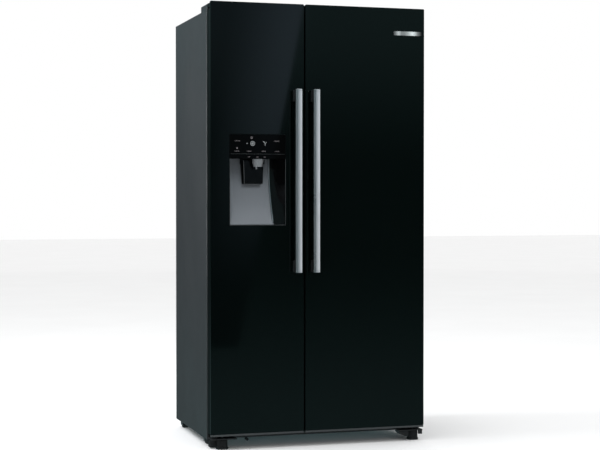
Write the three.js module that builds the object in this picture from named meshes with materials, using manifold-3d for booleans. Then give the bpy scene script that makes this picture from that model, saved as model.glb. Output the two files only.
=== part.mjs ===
// Side by side refrigerator and freezer with a water and ice dispenser in the freezer door.
// Millimetres. X runs right as seen from the front, Y runs back, Z runs up.
// The origin is on the floor, under the middle of the overall box.
import * as THREE from 'three';
import { mergeVertices } from 'three/addons/utils/BufferGeometryUtils.js';
import Module from 'manifold-3d';

const wasm = await Module();
wasm.setup();

// Driving dimensions.
const WIDTH = 908;
const DEPTH = 707;
const HEIGHT = 1787;
const HALF = WIDTH / 2;
const REAR = DEPTH / 2;
const HANDLE_FRONT = -DEPTH / 2;
const GLASS_FRONT = HANDLE_FRONT + 50;
const GLASS_BACK = GLASS_FRONT + 8;
const DOOR_BACK = GLASS_FRONT + 56;
const FRONT = GLASS_FRONT + 64;
const DOOR_BOTTOM = 63.5;
const CABINET_BOTTOM = 35.5;
const CABINET_TOP = 1757.5;
const DOOR_GAP_CENTRE = -63;
const DOOR_GAP = 6;
const SHEET = 1.5;
const GAP = 0.3;

// The insides: two moulded liners on either side of the mullion.
const LINER_WALL = 2;
const LINER_REAR = 297;
const LINER_TOP = 1703;
const LINER_FLOOR = 97;
const STEP_FLOOR = 225;
const FREEZER = { left: -401, right: -91 };
const FRIDGE = { left: -35, right: 401 };
const FLANGE_EDGE = 402;

// The door hinges turn about two upright pins.
const PIN = { x: 432, y: -282.5, radius: 5 };
const BORE_RADIUS = PIN.radius + 0.4;
const SHOULDER = 1755;

// The dispenser in the freezer door.
const DISPENSER = { left: -375.5, right: -142.6, bottom: 896.7, top: 1261, panelBottom: 1163 };
const DISPENSER_WALL = 3;
const NICHE_BACK = -228;

const COLOURS = {
  steelGrey: { color: 0x474b4e, roughness: 0.45, metalness: 0.6 },
  blackGlass: { color: 0x0b1718, roughness: 0.06, metalness: 0.0 },
  brushed: { color: 0xb8babb, roughness: 0.32, metalness: 0.9 },
  silver: { color: 0x8a8c8c, roughness: 0.4, metalness: 0.5 },
  white: { color: 0xe6e8e8, roughness: 0.5, metalness: 0.0 },
  clear: { color: 0xd4e2e4, roughness: 0.1, metalness: 0.0 },
  dark: { color: 0x1c1e20, roughness: 0.6, metalness: 0.0 },
  rubber: { color: 0x3a3c3d, roughness: 0.85, metalness: 0.0 },
  zinc: { color: 0x9a9da0, roughness: 0.4, metalness: 0.9 },
  foam: { color: 0xd9c98a, roughness: 0.95, metalness: 0.0 },
  copper: { color: 0xa86a42, roughness: 0.35, metalness: 0.9 },
};

// ---- Solids ----------------------------------------------------------------

function block(x0, x1, y0, y1, z0, z1) {
  const geometry = new THREE.BoxGeometry(x1 - x0, y1 - y0, z1 - z0);
  return geometry.translate((x0 + x1) / 2, (y0 + y1) / 2, (z0 + z1) / 2);
}

// Maps an outline's plane onto the row axes: along x it holds (y, z), along y (x, z), along z (x, y).
function facing(geometry, axis, from, to) {
  if (axis === 'z') return geometry.translate(0, 0, from);
  const turn = new THREE.Matrix4();
  if (axis === 'x') turn.set(0, 0, 1, from, 1, 0, 0, 0, 0, 1, 0, 0, 0, 0, 0, 1);
  else turn.set(1, 0, 0, 0, 0, 0, -1, to, 0, 1, 0, 0, 0, 0, 0, 1);
  return geometry.applyMatrix4(turn);
}

function toShape(points) {
  return new THREE.Shape(points.map(([u, v]) => new THREE.Vector2(u, v)));
}

// The outline is either a finished shape or a list of points.
function prism(axis, outline, from, to) {
  const shape = outline instanceof THREE.Shape ? outline : toShape(outline);
  const options = { depth: to - from, bevelEnabled: false, curveSegments: 4 };
  return facing(new THREE.ExtrudeGeometry(shape, options), axis, from, to);
}

function roundedOutline(u0, u1, v0, v1, radius) {
  const shape = new THREE.Shape();
  shape.moveTo(u0 + radius, v0);
  shape.lineTo(u1 - radius, v0);
  shape.absarc(u1 - radius, v0 + radius, radius, -Math.PI / 2, 0);
  shape.lineTo(u1, v1 - radius);
  shape.absarc(u1 - radius, v1 - radius, radius, 0, Math.PI / 2);
  shape.lineTo(u0 + radius, v1);
  shape.absarc(u0 + radius, v1 - radius, radius, Math.PI / 2, Math.PI);
  shape.lineTo(u0, v0 + radius);
  shape.absarc(u0 + radius, v0 + radius, radius, Math.PI, Math.PI * 1.5);
  return shape;
}

// A round bar along an axis; centre holds the other two coordinates in row order.
function rod(axis, radius, from, to, centre, sides = 16) {
  const points = [];
  for (let i = 0; i < sides; i += 1) {
    const turn = (2 * Math.PI * i) / sides;
    points.push([centre[0] + radius * Math.cos(turn), centre[1] + radius * Math.sin(turn)]);
  }
  return prism(axis, points, from, to);
}

// A turned piece about an upright axis; the profile holds [radius, height] and starts and ends on the axis.
function turned(profile, sides = 20) {
  const geometry = new THREE.LatheGeometry(profile.map(([r, z]) => new THREE.Vector2(r, z)), sides);
  return geometry.rotateX(Math.PI / 2);
}

function toSolid(geometry) {
  const bare = geometry.clone();
  bare.deleteAttribute('normal');
  bare.deleteAttribute('uv');
  const merged = mergeVertices(bare, 1e-3);
  const vertProperties = Float32Array.from(merged.attributes.position.array);
  const triVerts = Uint32Array.from(merged.index.array);
  return new wasm.Manifold(new wasm.Mesh({ numProp: 3, vertProperties, triVerts }));
}

function toGeometry(solid) {
  const mesh = solid.getMesh();
  const geometry = new THREE.BufferGeometry();
  geometry.setAttribute('position', new THREE.BufferAttribute(mesh.vertProperties, 3));
  geometry.setIndex(new THREE.BufferAttribute(mesh.triVerts, 1));
  geometry.computeVertexNormals();
  return geometry;
}

function join(first, ...rest) {
  return toGeometry(rest.reduce((solid, geometry) => solid.add(toSolid(geometry)), toSolid(first)));
}

function cut(first, ...tools) {
  return toGeometry(tools.reduce((solid, geometry) => solid.subtract(toSolid(geometry)), toSolid(first)));
}

// The same piece on the other side of the middle plane.
function mirrored(geometry) {
  const copy = toGeometry(toSolid(geometry));
  copy.scale(-1, 1, 1);
  copy.index.array.reverse();
  return copy;
}

// An open tub: a block hollowed from the top.
function tub(width, depth, height, wall) {
  const outer = block(-width / 2, width / 2, 0, depth, 0, height);
  return cut(outer, block(-width / 2 + wall, width / 2 - wall, wall, depth - wall, wall, height + 1));
}

function piece(group, name, geometry, colour, x = 0, y = 0, z = 0) {
  const mesh = new THREE.Mesh(geometry, new THREE.MeshStandardMaterial(COLOURS[colour]));
  mesh.name = name;
  mesh.position.set(x, y, z);
  group.add(mesh);
}

const refrigerator = new THREE.Group();

// ---- Cabinet casing ---------------------------------------------------------

const REAR_FLANGE = 20;

function sidePanelOutline() {
  return [
    [-HALF, FRONT], [-HALF, REAR], [-HALF + REAR_FLANGE, REAR], [-HALF + REAR_FLANGE, REAR - SHEET],
    [-HALF + SHEET, REAR - SHEET], [-HALF + SHEET, FRONT + SHEET],
    [-FLANGE_EDGE, FRONT + SHEET], [-FLANGE_EDGE, FRONT],
  ];
}

const INSIDE = HALF - SHEET - GAP;
const COMPARTMENT_TOP = 205;

const BETWEEN_FLANGES = FLANGE_EDGE - GAP;

function topPanel() {
  const edge = BETWEEN_FLANGES;
  const underside = CABINET_TOP - SHEET;
  const plate = block(-INSIDE, INSIDE, FRONT + SHEET + GAP, REAR - SHEET - GAP, underside, CABINET_TOP);
  const lip = block(-edge, edge, FRONT, FRONT + 4, underside, CABINET_TOP);
  const flange = block(-edge, edge, FRONT, FRONT + SHEET, LINER_TOP, CABINET_TOP);
  return join(plate, lip, flange);
}

const RAIL = { bottom: 38, top: LINER_FLOOR - 2, footRear: -200, foldRear: -225 };

function frontRail() {
  const edge = BETWEEN_FLANGES;
  const web = block(-edge, edge, FRONT, FRONT + SHEET, RAIL.bottom, RAIL.top);
  const foot = block(-edge, edge, FRONT, RAIL.footRear, RAIL.bottom, RAIL.bottom + SHEET);
  const fold = block(-edge, edge, FRONT, RAIL.foldRear, RAIL.top - SHEET, RAIL.top);
  return join(web, foot, fold);
}

const REAR_ROLLER = { x: 422, y: 315, radius: 21.5, width: 24, lift: 0 };
const FRONT_ROLLER = { x: 420, y: -113, radius: 16, width: 24, lift: 2.5 };
const AXLE_RADIUS = 4;
const EAR = { clearance: 3, halfThickness: 1.5, halfDepth: 13, belowAxle: 10 };
const PAN_BOTTOM = 40;
const PAN_TOP = PAN_BOTTOM + SHEET;

// The pairs of ears under the base pan that carry each roller's axle.
function rollerEars(roller) {
  const height = roller.radius + roller.lift;
  const { clearance, halfThickness, halfDepth, belowAxle } = EAR;
  const ears = [];
  for (const side of [-1, 1]) {
    for (const offset of [-1, 1]) {
      const x = side * roller.x + offset * (roller.width / 2 + clearance);
      const [y0, y1] = [roller.y - halfDepth, roller.y + halfDepth];
      const ear = block(x - halfThickness, x + halfThickness, y0, y1, height - belowAxle, PAN_BOTTOM + 1);
      ears.push(cut(ear, rod('x', AXLE_RADIUS + 0.4, x - 5, x + 5, [roller.y, height], 12)));
    }
  }
  return ears;
}

function wheelWell(side) {
  const { x, y, radius, width } = REAR_ROLLER;
  const reach = width / 2 + 1;
  return block(side * x - reach, side * x + reach, y - radius, y + radius, PAN_BOTTOM - 10, PAN_TOP + 10);
}

function basePan() {
  const plate = block(-INSIDE, INSIDE, RAIL.footRear + 1, REAR - SHEET - GAP, PAN_BOTTOM, PAN_TOP);
  const pan = cut(plate, wheelWell(-1), wheelWell(1));
  return join(pan, ...rollerEars(REAR_ROLLER), ...rollerEars(FRONT_ROLLER));
}

function roller({ radius, width }) {
  const wheel = rod('x', radius, -width / 2, width / 2, [0, 0], 24);
  return join(wheel, rod('x', AXLE_RADIUS, -width / 2 - 7, width / 2 + 7, [0, 0], 12));
}

const REAR_EDGE = HALF - REAR_FLANGE - 1;
const INLET = { x: 350, z: 125, halfWidth: 15.5, halfHeight: 13.5, depth: 30 };
const VENTS = { rows: 2, columns: 8, left: -360, bottom: 90, stepX: 70, stepZ: 55, width: 46, height: 8 };

function compartmentCover() {
  const panel = block(-REAR_EDGE, REAR_EDGE, REAR - SHEET, REAR, CABINET_BOTTOM + 3, COMPARTMENT_TOP - GAP);
  const through = (x0, x1, z0, z1) => block(x0, x1, REAR - 5, REAR + 5, z0, z1);
  const [inletX, inletZ] = [INLET.halfWidth + 0.5, INLET.halfHeight + 0.5];
  const openings = [through(INLET.x - inletX, INLET.x + inletX, INLET.z - inletZ, INLET.z + inletZ)];
  for (let row = 0; row < VENTS.rows; row += 1) {
    for (let column = 0; column < VENTS.columns; column += 1) {
      const x = VENTS.left + column * VENTS.stepX;
      const z = VENTS.bottom + row * VENTS.stepZ;
      openings.push(through(x, x + VENTS.width, z, z + VENTS.height));
    }
  }
  return cut(panel, ...openings);
}

function powerInlet() {
  const { halfWidth, halfHeight, depth } = INLET;
  const body = block(-halfWidth, halfWidth, -depth, 0, -halfHeight, halfHeight);
  return cut(body, block(-12, 12, -18, 1, -9, 9));
}

const cabinet = new THREE.Group();
refrigerator.add(cabinet);
const leftPanel = prism('z', sidePanelOutline(), CABINET_BOTTOM, CABINET_TOP);
piece(cabinet, 'side_panel_left', leftPanel, 'steelGrey');
piece(cabinet, 'side_panel_right', mirrored(leftPanel), 'steelGrey');
piece(cabinet, 'top_panel', topPanel(), 'steelGrey');
const backPanel = block(-REAR_EDGE, REAR_EDGE, REAR - SHEET, REAR, COMPARTMENT_TOP, CABINET_TOP);
piece(cabinet, 'back_panel', backPanel, 'zinc');
piece(cabinet, 'base_pan', basePan(), 'zinc');
piece(cabinet, 'front_base_rail', frontRail(), 'steelGrey');
piece(cabinet, 'machine_compartment_cover', compartmentCover(), 'zinc');
piece(cabinet, 'power_inlet', powerInlet(), 'dark', INLET.x, REAR, INLET.z);
const COUPLING = { x: -290, z: 31.5, radius: 6, front: -16, rear: 12 };
const coupling = rod('y', COUPLING.radius, COUPLING.front, COUPLING.rear, [0, 0], 12);
piece(cabinet, 'water_line_coupling', coupling, 'white', COUPLING.x, FRONT, COUPLING.z);
const [mullionLeft, mullionRight] = [FREEZER.right + GAP, FRIDGE.left - GAP];
const mullion = block(mullionLeft, mullionRight, FRONT, FRONT + SHEET, LINER_FLOOR, LINER_TOP - GAP);
piece(cabinet, 'centre_mullion', mullion, 'steelGrey');

// ---- Liners, foam and ducts ---------------------------------------------------

// Both compartments share one side view: the floor steps up over the machine compartment.
function linerOutline(inset, mouth) {
  return [
    [FRONT - mouth, LINER_FLOOR + inset], [120 - inset, LINER_FLOOR + inset],
    [150 - inset, STEP_FLOOR + inset], [LINER_REAR - inset, STEP_FLOOR + inset],
    [LINER_REAR - inset, LINER_TOP - inset], [FRONT - mouth, LINER_TOP - inset],
  ];
}

const LEDGE = { front: -148, rear: 140, reach: 11, thickness: 4 };

function liner(bay, ledgeHeight) {
  const shell = prism('x', linerOutline(0, 0), bay.left, bay.right);
  const hollow = prism('x', linerOutline(LINER_WALL, 5), bay.left + LINER_WALL, bay.right - LINER_WALL);
  const open = cut(shell, hollow);
  const { front, rear, reach, thickness } = LEDGE;
  const ledge = (x0, x1) => block(x0, x1, front, rear, ledgeHeight - thickness, ledgeHeight);
  return join(open, ledge(bay.left + 1, bay.left + reach), ledge(bay.right - reach, bay.right - 1));
}

const FOAM = { front: FRONT + 2, rear: 350, bottom: 62, top: CABINET_TOP - 2, stepFront: 100, stepRear: 128 };

function insulation() {
  const { front, rear, bottom, top, stepFront, stepRear } = FOAM;
  const outline = [
    [front, bottom], [stepFront, bottom], [stepRear, COMPARTMENT_TOP], [rear, COMPARTMENT_TOP],
    [rear, top], [front, top],
  ];
  const full = prism('x', outline, -HALF + 2, HALF - 2);
  const hollow = (bay) => prism('x', linerOutline(-GAP, 9), bay.left - GAP, bay.right + GAP);
  const railSpace = block(-HALF, HALF, FRONT - 1, RAIL.foldRear + 1, bottom - 2, LINER_FLOOR - 1);
  return cut(full, hollow(FREEZER), hollow(FRIDGE), railSpace);
}

const FREEZER_LEDGE = 257;
const FRIDGE_LEDGE = 307;

const DUCT = { bottom: 260, top: 1650, wall: 2, slotHalfWidth: 60, slotHeight: 10 };

// A rear air duct: a channel that stands off the liner's back wall, with outlet slots.
function airDuct(bay, inset, front, slotHeights) {
  const left = bay.left + inset;
  const right = bay.right - inset;
  const back = LINER_REAR - LINER_WALL - GAP;
  const { wall, slotHalfWidth, slotHeight } = DUCT;
  const outline = [
    [left, back], [left, front], [right, front], [right, back],
    [right - wall, back], [right - wall, front + wall], [left + wall, front + wall], [left + wall, back],
  ];
  const middle = (left + right) / 2;
  const [x0, x1] = [middle - slotHalfWidth, middle + slotHalfWidth];
  const slots = slotHeights.map((z) => block(x0, x1, front - 5, front + 5, z, z + slotHeight));
  return cut(prism('z', outline, DUCT.bottom, DUCT.top), ...slots);
}

const COIL = { halfWidth: 130, depth: 36, finDepth: 22, fins: 12, height: 380 };

// A slab with upright grooves, so that its front reads as a row of fins.
function evaporator() {
  const { halfWidth, depth, finDepth, fins, height } = COIL;
  const outline = [[-halfWidth, depth], [-halfWidth, 0]];
  const pitch = (2 * halfWidth) / fins;
  for (let i = 0; i < fins; i += 1) {
    const [start, end] = [-halfWidth + (i + 0.4) * pitch, -halfWidth + (i + 1) * pitch];
    outline.push([start, 0], [start, finDepth], [end, finDepth], [end, 0]);
  }
  outline.push([halfWidth + 4, 0], [halfWidth + 4, depth]);
  return prism('z', outline, 0, height);
}

piece(cabinet, 'insulation_foam', insulation(), 'foam');
piece(cabinet, 'freezer_liner', liner(FREEZER, FREEZER_LEDGE), 'white');
piece(cabinet, 'fridge_liner', liner(FRIDGE, FRIDGE_LEDGE), 'white');
piece(cabinet, 'freezer_air_duct', airDuct(FREEZER, 10, 240, [500, 900, 1210]), 'white');
piece(cabinet, 'fridge_air_duct', airDuct(FRIDGE, 90, 272, [620, 900, 1180, 1460]), 'white');
piece(cabinet, 'evaporator', evaporator(), 'zinc', -248, 250, 420);

// ---- Shelves ------------------------------------------------------------------

const SHELF = { front: -125, thickness: 5, barDepth: 8, barHeight: 14, sideGap: 4 };
const FREEZER_SHELF_REAR = 237;
const FRIDGE_SHELF_REAR = 268;

// A plate with a deeper bar along its front edge.
function shelf(bay, rear, level) {
  const { front, thickness, barDepth, barHeight, sideGap } = SHELF;
  const outline = [
    [front, level - barHeight], [front + barDepth, level - barHeight], [front + barDepth, level - thickness],
    [rear, level - thickness], [rear, level], [front, level],
  ];
  return prism('x', outline, bay.left + sideGap, bay.right - sideGap);
}

const UPPER_FREEZER_SHELF = 1290;
const upperFreezerShelf = shelf(FREEZER, FREEZER_SHELF_REAR, UPPER_FREEZER_SHELF);
piece(cabinet, 'freezer_shelf_upper', upperFreezerShelf, 'clear');
piece(cabinet, 'freezer_shelf_lower', shelf(FREEZER, FREEZER_SHELF_REAR, 640), 'clear');
piece(cabinet, 'fridge_shelf_upper', shelf(FRIDGE, FRIDGE_SHELF_REAR, 1380), 'clear');
piece(cabinet, 'fridge_shelf_lower', shelf(FRIDGE, FRIDGE_SHELF_REAR, 1010), 'clear');
piece(cabinet, 'crisper_cover_shelf', shelf(FRIDGE, FRIDGE_SHELF_REAR, 585), 'clear');

// ---- Hinges and their covers -----------------------------------------------------

const PLATE_BOTTOM = CABINET_TOP + GAP;
const PLATE = 4;
const COVER_TOP = CABINET_TOP + 25.5;

// The plate lies on the cabinet; its arm runs out at 45 degrees to the pin, clear of the opened door.
function upperHinge() {
  const arm = 9;
  const shoulderY = FRONT + 7.5;
  const reach = (offset) => -PIN.x + offset + (shoulderY - PIN.y);
  const outline = [[-440, -150], [-440, -226], [reach(-arm * Math.SQRT2), shoulderY]];
  for (let step = 0; step <= 6; step += 1) {
    const turn = Math.PI * (0.75 + step / 6);
    outline.push([-PIN.x + arm * Math.cos(turn), PIN.y + arm * Math.sin(turn)]);
  }
  outline.push([reach(arm * Math.SQRT2), shoulderY], [-345, -226], [-345, -150]);
  const plate = prism('z', outline, PLATE_BOTTOM, PLATE_BOTTOM + PLATE);
  return join(plate, rod('z', PIN.radius, SHOULDER - 28, PLATE_BOTTOM + 1, [-PIN.x, PIN.y]));
}

function hingeCover() {
  const outer = block(-452, -330, FRONT, FRONT + 108, CABINET_TOP + GAP, COVER_TOP);
  const inner = block(-450, -332, FRONT + 2, FRONT + 106, CABINET_TOP, COVER_TOP - 2);
  return cut(outer, inner, block(-415, -360, FRONT - 1, FRONT + 5, CABINET_TOP, CABINET_TOP + 7));
}

const FOOT = { radius: 24.5, columnRadius: 21.5, columnTop: 38, studRadius: 5, studTop: 58, y: -262 };
const LOWER_PLATE = { bottom: 41.5, top: 46, front: -300 };

function lowerHinge(footX, gusset) {
  const side = Math.sign(footX);
  const [inner, outer] = [345, 450];
  const [x0, x1] = side < 0 ? [-outer, -inner] : [inner, outer];
  const plate = block(x0, x1, LOWER_PLATE.front, FRONT - GAP, LOWER_PLATE.bottom, LOWER_PLATE.top);
  const flange = block(x0, x1, FRONT - 3.3, FRONT - GAP, LOWER_PLATE.bottom, 62);
  const centre = [side * PIN.x, PIN.y];
  const collar = rod('z', 8, LOWER_PLATE.top - 1, DOOR_BOTTOM - GAP, centre);
  const pin = rod('z', PIN.radius, LOWER_PLATE.top - 1, 90, centre);
  const hole = rod('z', FOOT.studRadius + 0.4, 30, 60, [footX, FOOT.y]);
  const body = cut(join(plate, flange), hole);
  return gusset ? join(body, collar, pin, gusset) : join(body, collar, pin);
}

const LEFT_FOOT_X = -397;
const RIGHT_FOOT_X = 420;
const gusset = prism('y', [[353, 36], [396, 17], [396, 43], [353, 43]], -262, -252);
const hinge = upperHinge();
piece(cabinet, 'upper_hinge_left', hinge, 'zinc');
piece(cabinet, 'upper_hinge_right', mirrored(hinge), 'zinc');
piece(cabinet, 'hinge_cover_left', hingeCover(), 'steelGrey');
piece(cabinet, 'hinge_cover_right', mirrored(hingeCover()), 'steelGrey');
piece(cabinet, 'lower_hinge_left', lowerHinge(LEFT_FOOT_X), 'dark');
piece(cabinet, 'lower_hinge_right', lowerHinge(RIGHT_FOOT_X, gusset), 'dark');

// ---- Machine compartment ----------------------------------------------------------

// A welded steel shell on its mounting plate.
function compressor() {
  const profile = [[0, 0], [40, 0], [40, 12], [68, 22], [78, 45], [78, 95], [66, 122], [30, 136], [0, 138]];
  const plate = block(-90, 90, -60, 60, 4, 8);
  return join(turned(profile, 20), plate);
}

const CONDENSER = { width: 200, height: 120, spine: 14, reach: 100, fins: 10 };

// A comb of upright fins on a spine.
function condenser() {
  const { width, height, spine, reach, fins } = CONDENSER;
  const outline = [[0, 0], [width, 0], [width, spine]];
  const pitch = width / fins;
  for (let i = fins - 1; i >= 0; i -= 1) {
    const [near, far] = [(i + 0.3) * pitch, (i + 0.7) * pitch];
    outline.push([far, spine], [far, reach], [near, reach], [near, spine]);
  }
  outline.push([0, spine]);
  return prism('z', outline, 0, height);
}

const FAN = { x: 90, y: 235, z: 118, blades: 5, chord: 34, thickness: 3, pitch: 32, root: 10, length: 46 };
const FAN_HUB = { radius: 18, halfLength: 14 };

function fanBlade(turn) {
  const blade = new THREE.BoxGeometry(FAN.thickness, FAN.chord, FAN.length);
  blade.rotateZ(THREE.MathUtils.degToRad(FAN.pitch));
  blade.translate(0, 0, FAN.root + FAN.length / 2);
  return blade.rotateX(turn);
}

function condenserFan() {
  const blades = [];
  for (let i = 0; i < FAN.blades; i += 1) blades.push(fanBlade((2 * Math.PI * i) / FAN.blades));
  const hub = rod('x', FAN_HUB.radius, -FAN_HUB.halfLength, FAN_HUB.halfLength, [0, 0], 20);
  return join(hub, ...blades);
}

piece(cabinet, 'compressor', compressor(), 'dark', 255, 240, PAN_TOP + GAP);
piece(cabinet, 'condenser', condenser(), 'copper', -180, 180, PAN_TOP + GAP);

const fan = new THREE.Group();
fan.position.set(FAN.x, FAN.y, FAN.z);
piece(fan, 'condenser_fan', condenserFan(), 'dark');
refrigerator.add(fan);

// ---- Rollers and feet ----------------------------------------------------------------

function levellingFoot() {
  const { radius, columnRadius, columnTop, studRadius, studTop } = FOOT;
  return turned([
    [0, 0], [radius - 1, 0], [radius, 1.5], [radius, 7], [columnRadius, 9],
    [columnRadius, columnTop], [studRadius, columnTop], [studRadius, studTop], [0, studTop],
  ]);
}

const running = new THREE.Group();
refrigerator.add(running);

function addRoller(name, size, side) {
  piece(running, name, roller(size), 'dark', side * size.x, size.y, size.radius + size.lift);
}

for (const [name, side] of [['left', -1], ['right', 1]]) {
  addRoller(`roller_front_${name}`, FRONT_ROLLER, side);
  addRoller(`roller_rear_${name}`, REAR_ROLLER, side);
}
piece(running, 'levelling_foot_left', levellingFoot(), 'dark', LEFT_FOOT_X, FOOT.y, 0);
piece(running, 'levelling_foot_right', levellingFoot(), 'dark', RIGHT_FOOT_X, FOOT.y, 0);

// ---- Drawers and ice store -------------------------------------------------------------

const DRAWER_FRONT = -150;
const DRAWER_SIDE_GAP = 3;

const DRAWER_FACE = 6;
const DRAWER_WALL = 2.5;
const FINGER_SLOT = { halfWidth: 55, below: 34, above: 14, radius: 9 };

// A drawer tub with a thicker, taller front and a finger slot near the top of it.
function drawer(bay, rear, height) {
  const width = bay.right - bay.left - 2 * (LINER_WALL + DRAWER_SIDE_GAP);
  const front = block(-width / 2, width / 2, -DRAWER_FACE, 1, 0, height);
  const body = tub(width, rear - DRAWER_FRONT - DRAWER_FACE, height - 6, DRAWER_WALL);
  const { halfWidth, below, above, radius } = FINGER_SLOT;
  const slot = roundedOutline(-halfWidth, halfWidth, height - below, height - above, radius);
  return cut(join(body, front), prism('y', slot, -10, 5));
}

function addDrawer(name, bay, bottom, rear, height) {
  const middle = (bay.left + bay.right) / 2;
  piece(drawers, name, drawer(bay, rear, height), 'clear', middle, DRAWER_FRONT + DRAWER_FACE, bottom + GAP);
}

const drawers = new THREE.Group();
refrigerator.add(drawers);
const floor = LINER_FLOOR + LINER_WALL;
addDrawer('freezer_drawer_lower', FREEZER, floor, 105, 150);
addDrawer('freezer_drawer_upper', FREEZER, FREEZER_LEDGE, 232, 165);
addDrawer('crisper_drawer_lower', FRIDGE, floor, 105, 200);
addDrawer('crisper_drawer_upper', FRIDGE, FRIDGE_LEDGE, 255, 240);

const FREEZER_MIDDLE = (FREEZER.left + FREEZER.right) / 2;

const BUCKET = { width: 270, depth: 330, height: 165, wall: 3 };

function iceBucket() {
  const outlet = block(-50, 50, 8, 70, -5, 5);
  return cut(tub(BUCKET.width, BUCKET.depth, BUCKET.height, BUCKET.wall), outlet);
}

const MOULDS = { count: 7, first: -105, pitch: 24.5, width: 21, front: 10, rear: 88, bottom: 12 };

// A mould tray with its drive box at the right end.
function iceMaker() {
  const tray = block(-110, 70, 0, 110, 0, 45);
  const moulds = [];
  for (let i = 0; i < MOULDS.count; i += 1) {
    const x = MOULDS.first + i * MOULDS.pitch;
    moulds.push(block(x, x + MOULDS.width, MOULDS.front, MOULDS.rear, MOULDS.bottom, 50));
  }
  return join(cut(tray, ...moulds), block(66, 130, -10, 120, -15, 75));
}

piece(drawers, 'ice_bucket', iceBucket(), 'clear', FREEZER_MIDDLE, -120, UPPER_FREEZER_SHELF + GAP);
piece(cabinet, 'ice_maker', iceMaker(), 'white', FREEZER_MIDDLE - 10, 95, 1500);

// ---- Doors ------------------------------------------------------------------------------

const FREEZER_DOOR = { left: -HALF, right: DOOR_GAP_CENTRE - DOOR_GAP / 2, hingeSide: -1 };
const FRIDGE_DOOR = { left: DOOR_GAP_CENTRE + DOOR_GAP / 2, right: HALF, hingeSide: 1 };
const SHELL_FRONT = GLASS_BACK + GAP;
const SHELL_REAR = DOOR_BACK - 2;
const SHELL_TOP = 1784;
const SHELL_WALL = 2.5;
const CORNER = { width: 76, roofBottom: 1765, roofTop: 1780 };
const PIN_BLOCK = { width: 44, setBack: 8, topHeight: 40, bottomHeight: 36 };

function doorGlass(door) {
  const outline = roundedOutline(door.left, door.right, DOOR_BOTTOM, HEIGHT, 5);
  return prism('y', outline, GLASS_FRONT, GLASS_BACK);
}

// The door's metal tray: open at the back, stepped down at the hinge corner to pass under the hinge arm,
// with a small roof over that step and solid corners that hold the hinge pins.
function doorShell(door) {
  const hingeEdge = door.hingeSide < 0 ? door.left : door.right;
  const inward = -door.hingeSide;
  const span = (from, to) => [hingeEdge + inward * from, hingeEdge + inward * to].sort((a, b) => a - b);
  const wall = SHELL_WALL;
  const behindSkin = SHELL_FRONT + SHEET;
  const rear = SHELL_REAR + 1;
  const full = block(door.left, door.right, SHELL_FRONT, SHELL_REAR, DOOR_BOTTOM, SHELL_TOP);
  const [h0, h1] = [door.left + wall, door.right - wall];
  const hollow = block(h0, h1, behindSkin, rear, DOOR_BOTTOM + wall, SHOULDER - wall);
  const [t0, t1] = span(CORNER.width + wall, door.right - door.left - wall);
  const topHollow = block(t0, t1, behindSkin, rear, SHOULDER - wall - 1, SHELL_TOP - wall);
  const [s0, s1] = span(-1, CORNER.width);
  const slot = block(s0, s1, SHELL_FRONT - 1, rear, SHOULDER, CORNER.roofBottom);
  const overRoof = block(s0, s1, SHELL_FRONT - 1, rear, CORNER.roofTop, SHELL_TOP + 1);
  const tray = cut(full, hollow, topHollow, slot, overRoof);
  const [c0, c1] = span(0, PIN_BLOCK.width);
  const corner = (bottom, top) => block(c0, c1, SHELL_FRONT, SHELL_REAR - PIN_BLOCK.setBack, bottom, top);
  const topCorner = corner(SHOULDER - PIN_BLOCK.topHeight, SHOULDER);
  const bottomCorner = corner(DOOR_BOTTOM, DOOR_BOTTOM + PIN_BLOCK.bottomHeight);
  const pin = [door.hingeSide * PIN.x, PIN.y];
  const topBore = rod('z', BORE_RADIUS, SHOULDER - 31, SHOULDER + 5, pin);
  const bottomBore = rod('z', BORE_RADIUS, DOOR_BOTTOM - 5, DOOR_BOTTOM + 30, pin);
  return cut(join(tray, topCorner, bottomCorner), topBore, bottomBore);
}

const GASKET = { bottom: 70, top: 1728, width: 17 };

function gasketSpan(door) {
  const free = 4;
  const hinged = HALF - PIN.x + 4;
  return door.hingeSide < 0 ? [door.left + hinged, door.right - free] : [door.left + free, door.right - hinged];
}

function doorGasket(door) {
  const [x0, x1] = gasketSpan(door);
  const { bottom, top, width } = GASKET;
  const front = DOOR_BACK + GAP;
  const rear = FRONT - GAP;
  const outer = block(x0, x1, front, rear, bottom, top);
  return cut(outer, block(x0 + width, x1 - width, front - 1, rear + 1, bottom + width, top - width));
}

// The moulded inner door: a flat panel with a raised frame that carries the bins.
const FRAME = { bottom: 600, top: 1665, bar: 18, rear: -185, inset: 34 };
const PANEL_FRONT = SHELL_REAR + GAP;

function innerPanel(door, bay) {
  const panel = block(door.left + 2, door.right - 2, PANEL_FRONT, DOOR_BACK, DOOR_BOTTOM + 4, SHOULDER - 6);
  const [x0, x1] = [bay.left + FRAME.inset + LINER_WALL, bay.right - FRAME.inset - LINER_WALL];
  const { bottom, top, bar, rear } = FRAME;
  const raised = block(x0, x1, PANEL_FRONT, rear, bottom, top);
  const between = block(x0 + bar, x1 - bar, DOOR_BACK, 0, bottom + bar, top - bar);
  return join(panel, cut(raised, between));
}

const HUMP = { left: -385, right: -129, bottom: 868, top: 1292, rear: -192, wall: 2 };

// The freezer's panel swells round the dispenser, with a pocket for its housing.
function freezerInnerPanel() {
  const { left, right, bottom, top, rear, wall } = HUMP;
  const hump = block(left, right, PANEL_FRONT, rear, bottom, top);
  const pocket = block(left + wall, right - wall, PANEL_FRONT - 5, rear - wall, bottom + wall, top - wall);
  return cut(join(innerPanel(FREEZER_DOOR, FREEZER), hump), pocket);
}

const HANDLE = { width: 26.5, thickness: 18, corner: 4, bottom: 706.6, top: 1442.5, mount: 48, offset: 37.5 };

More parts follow.
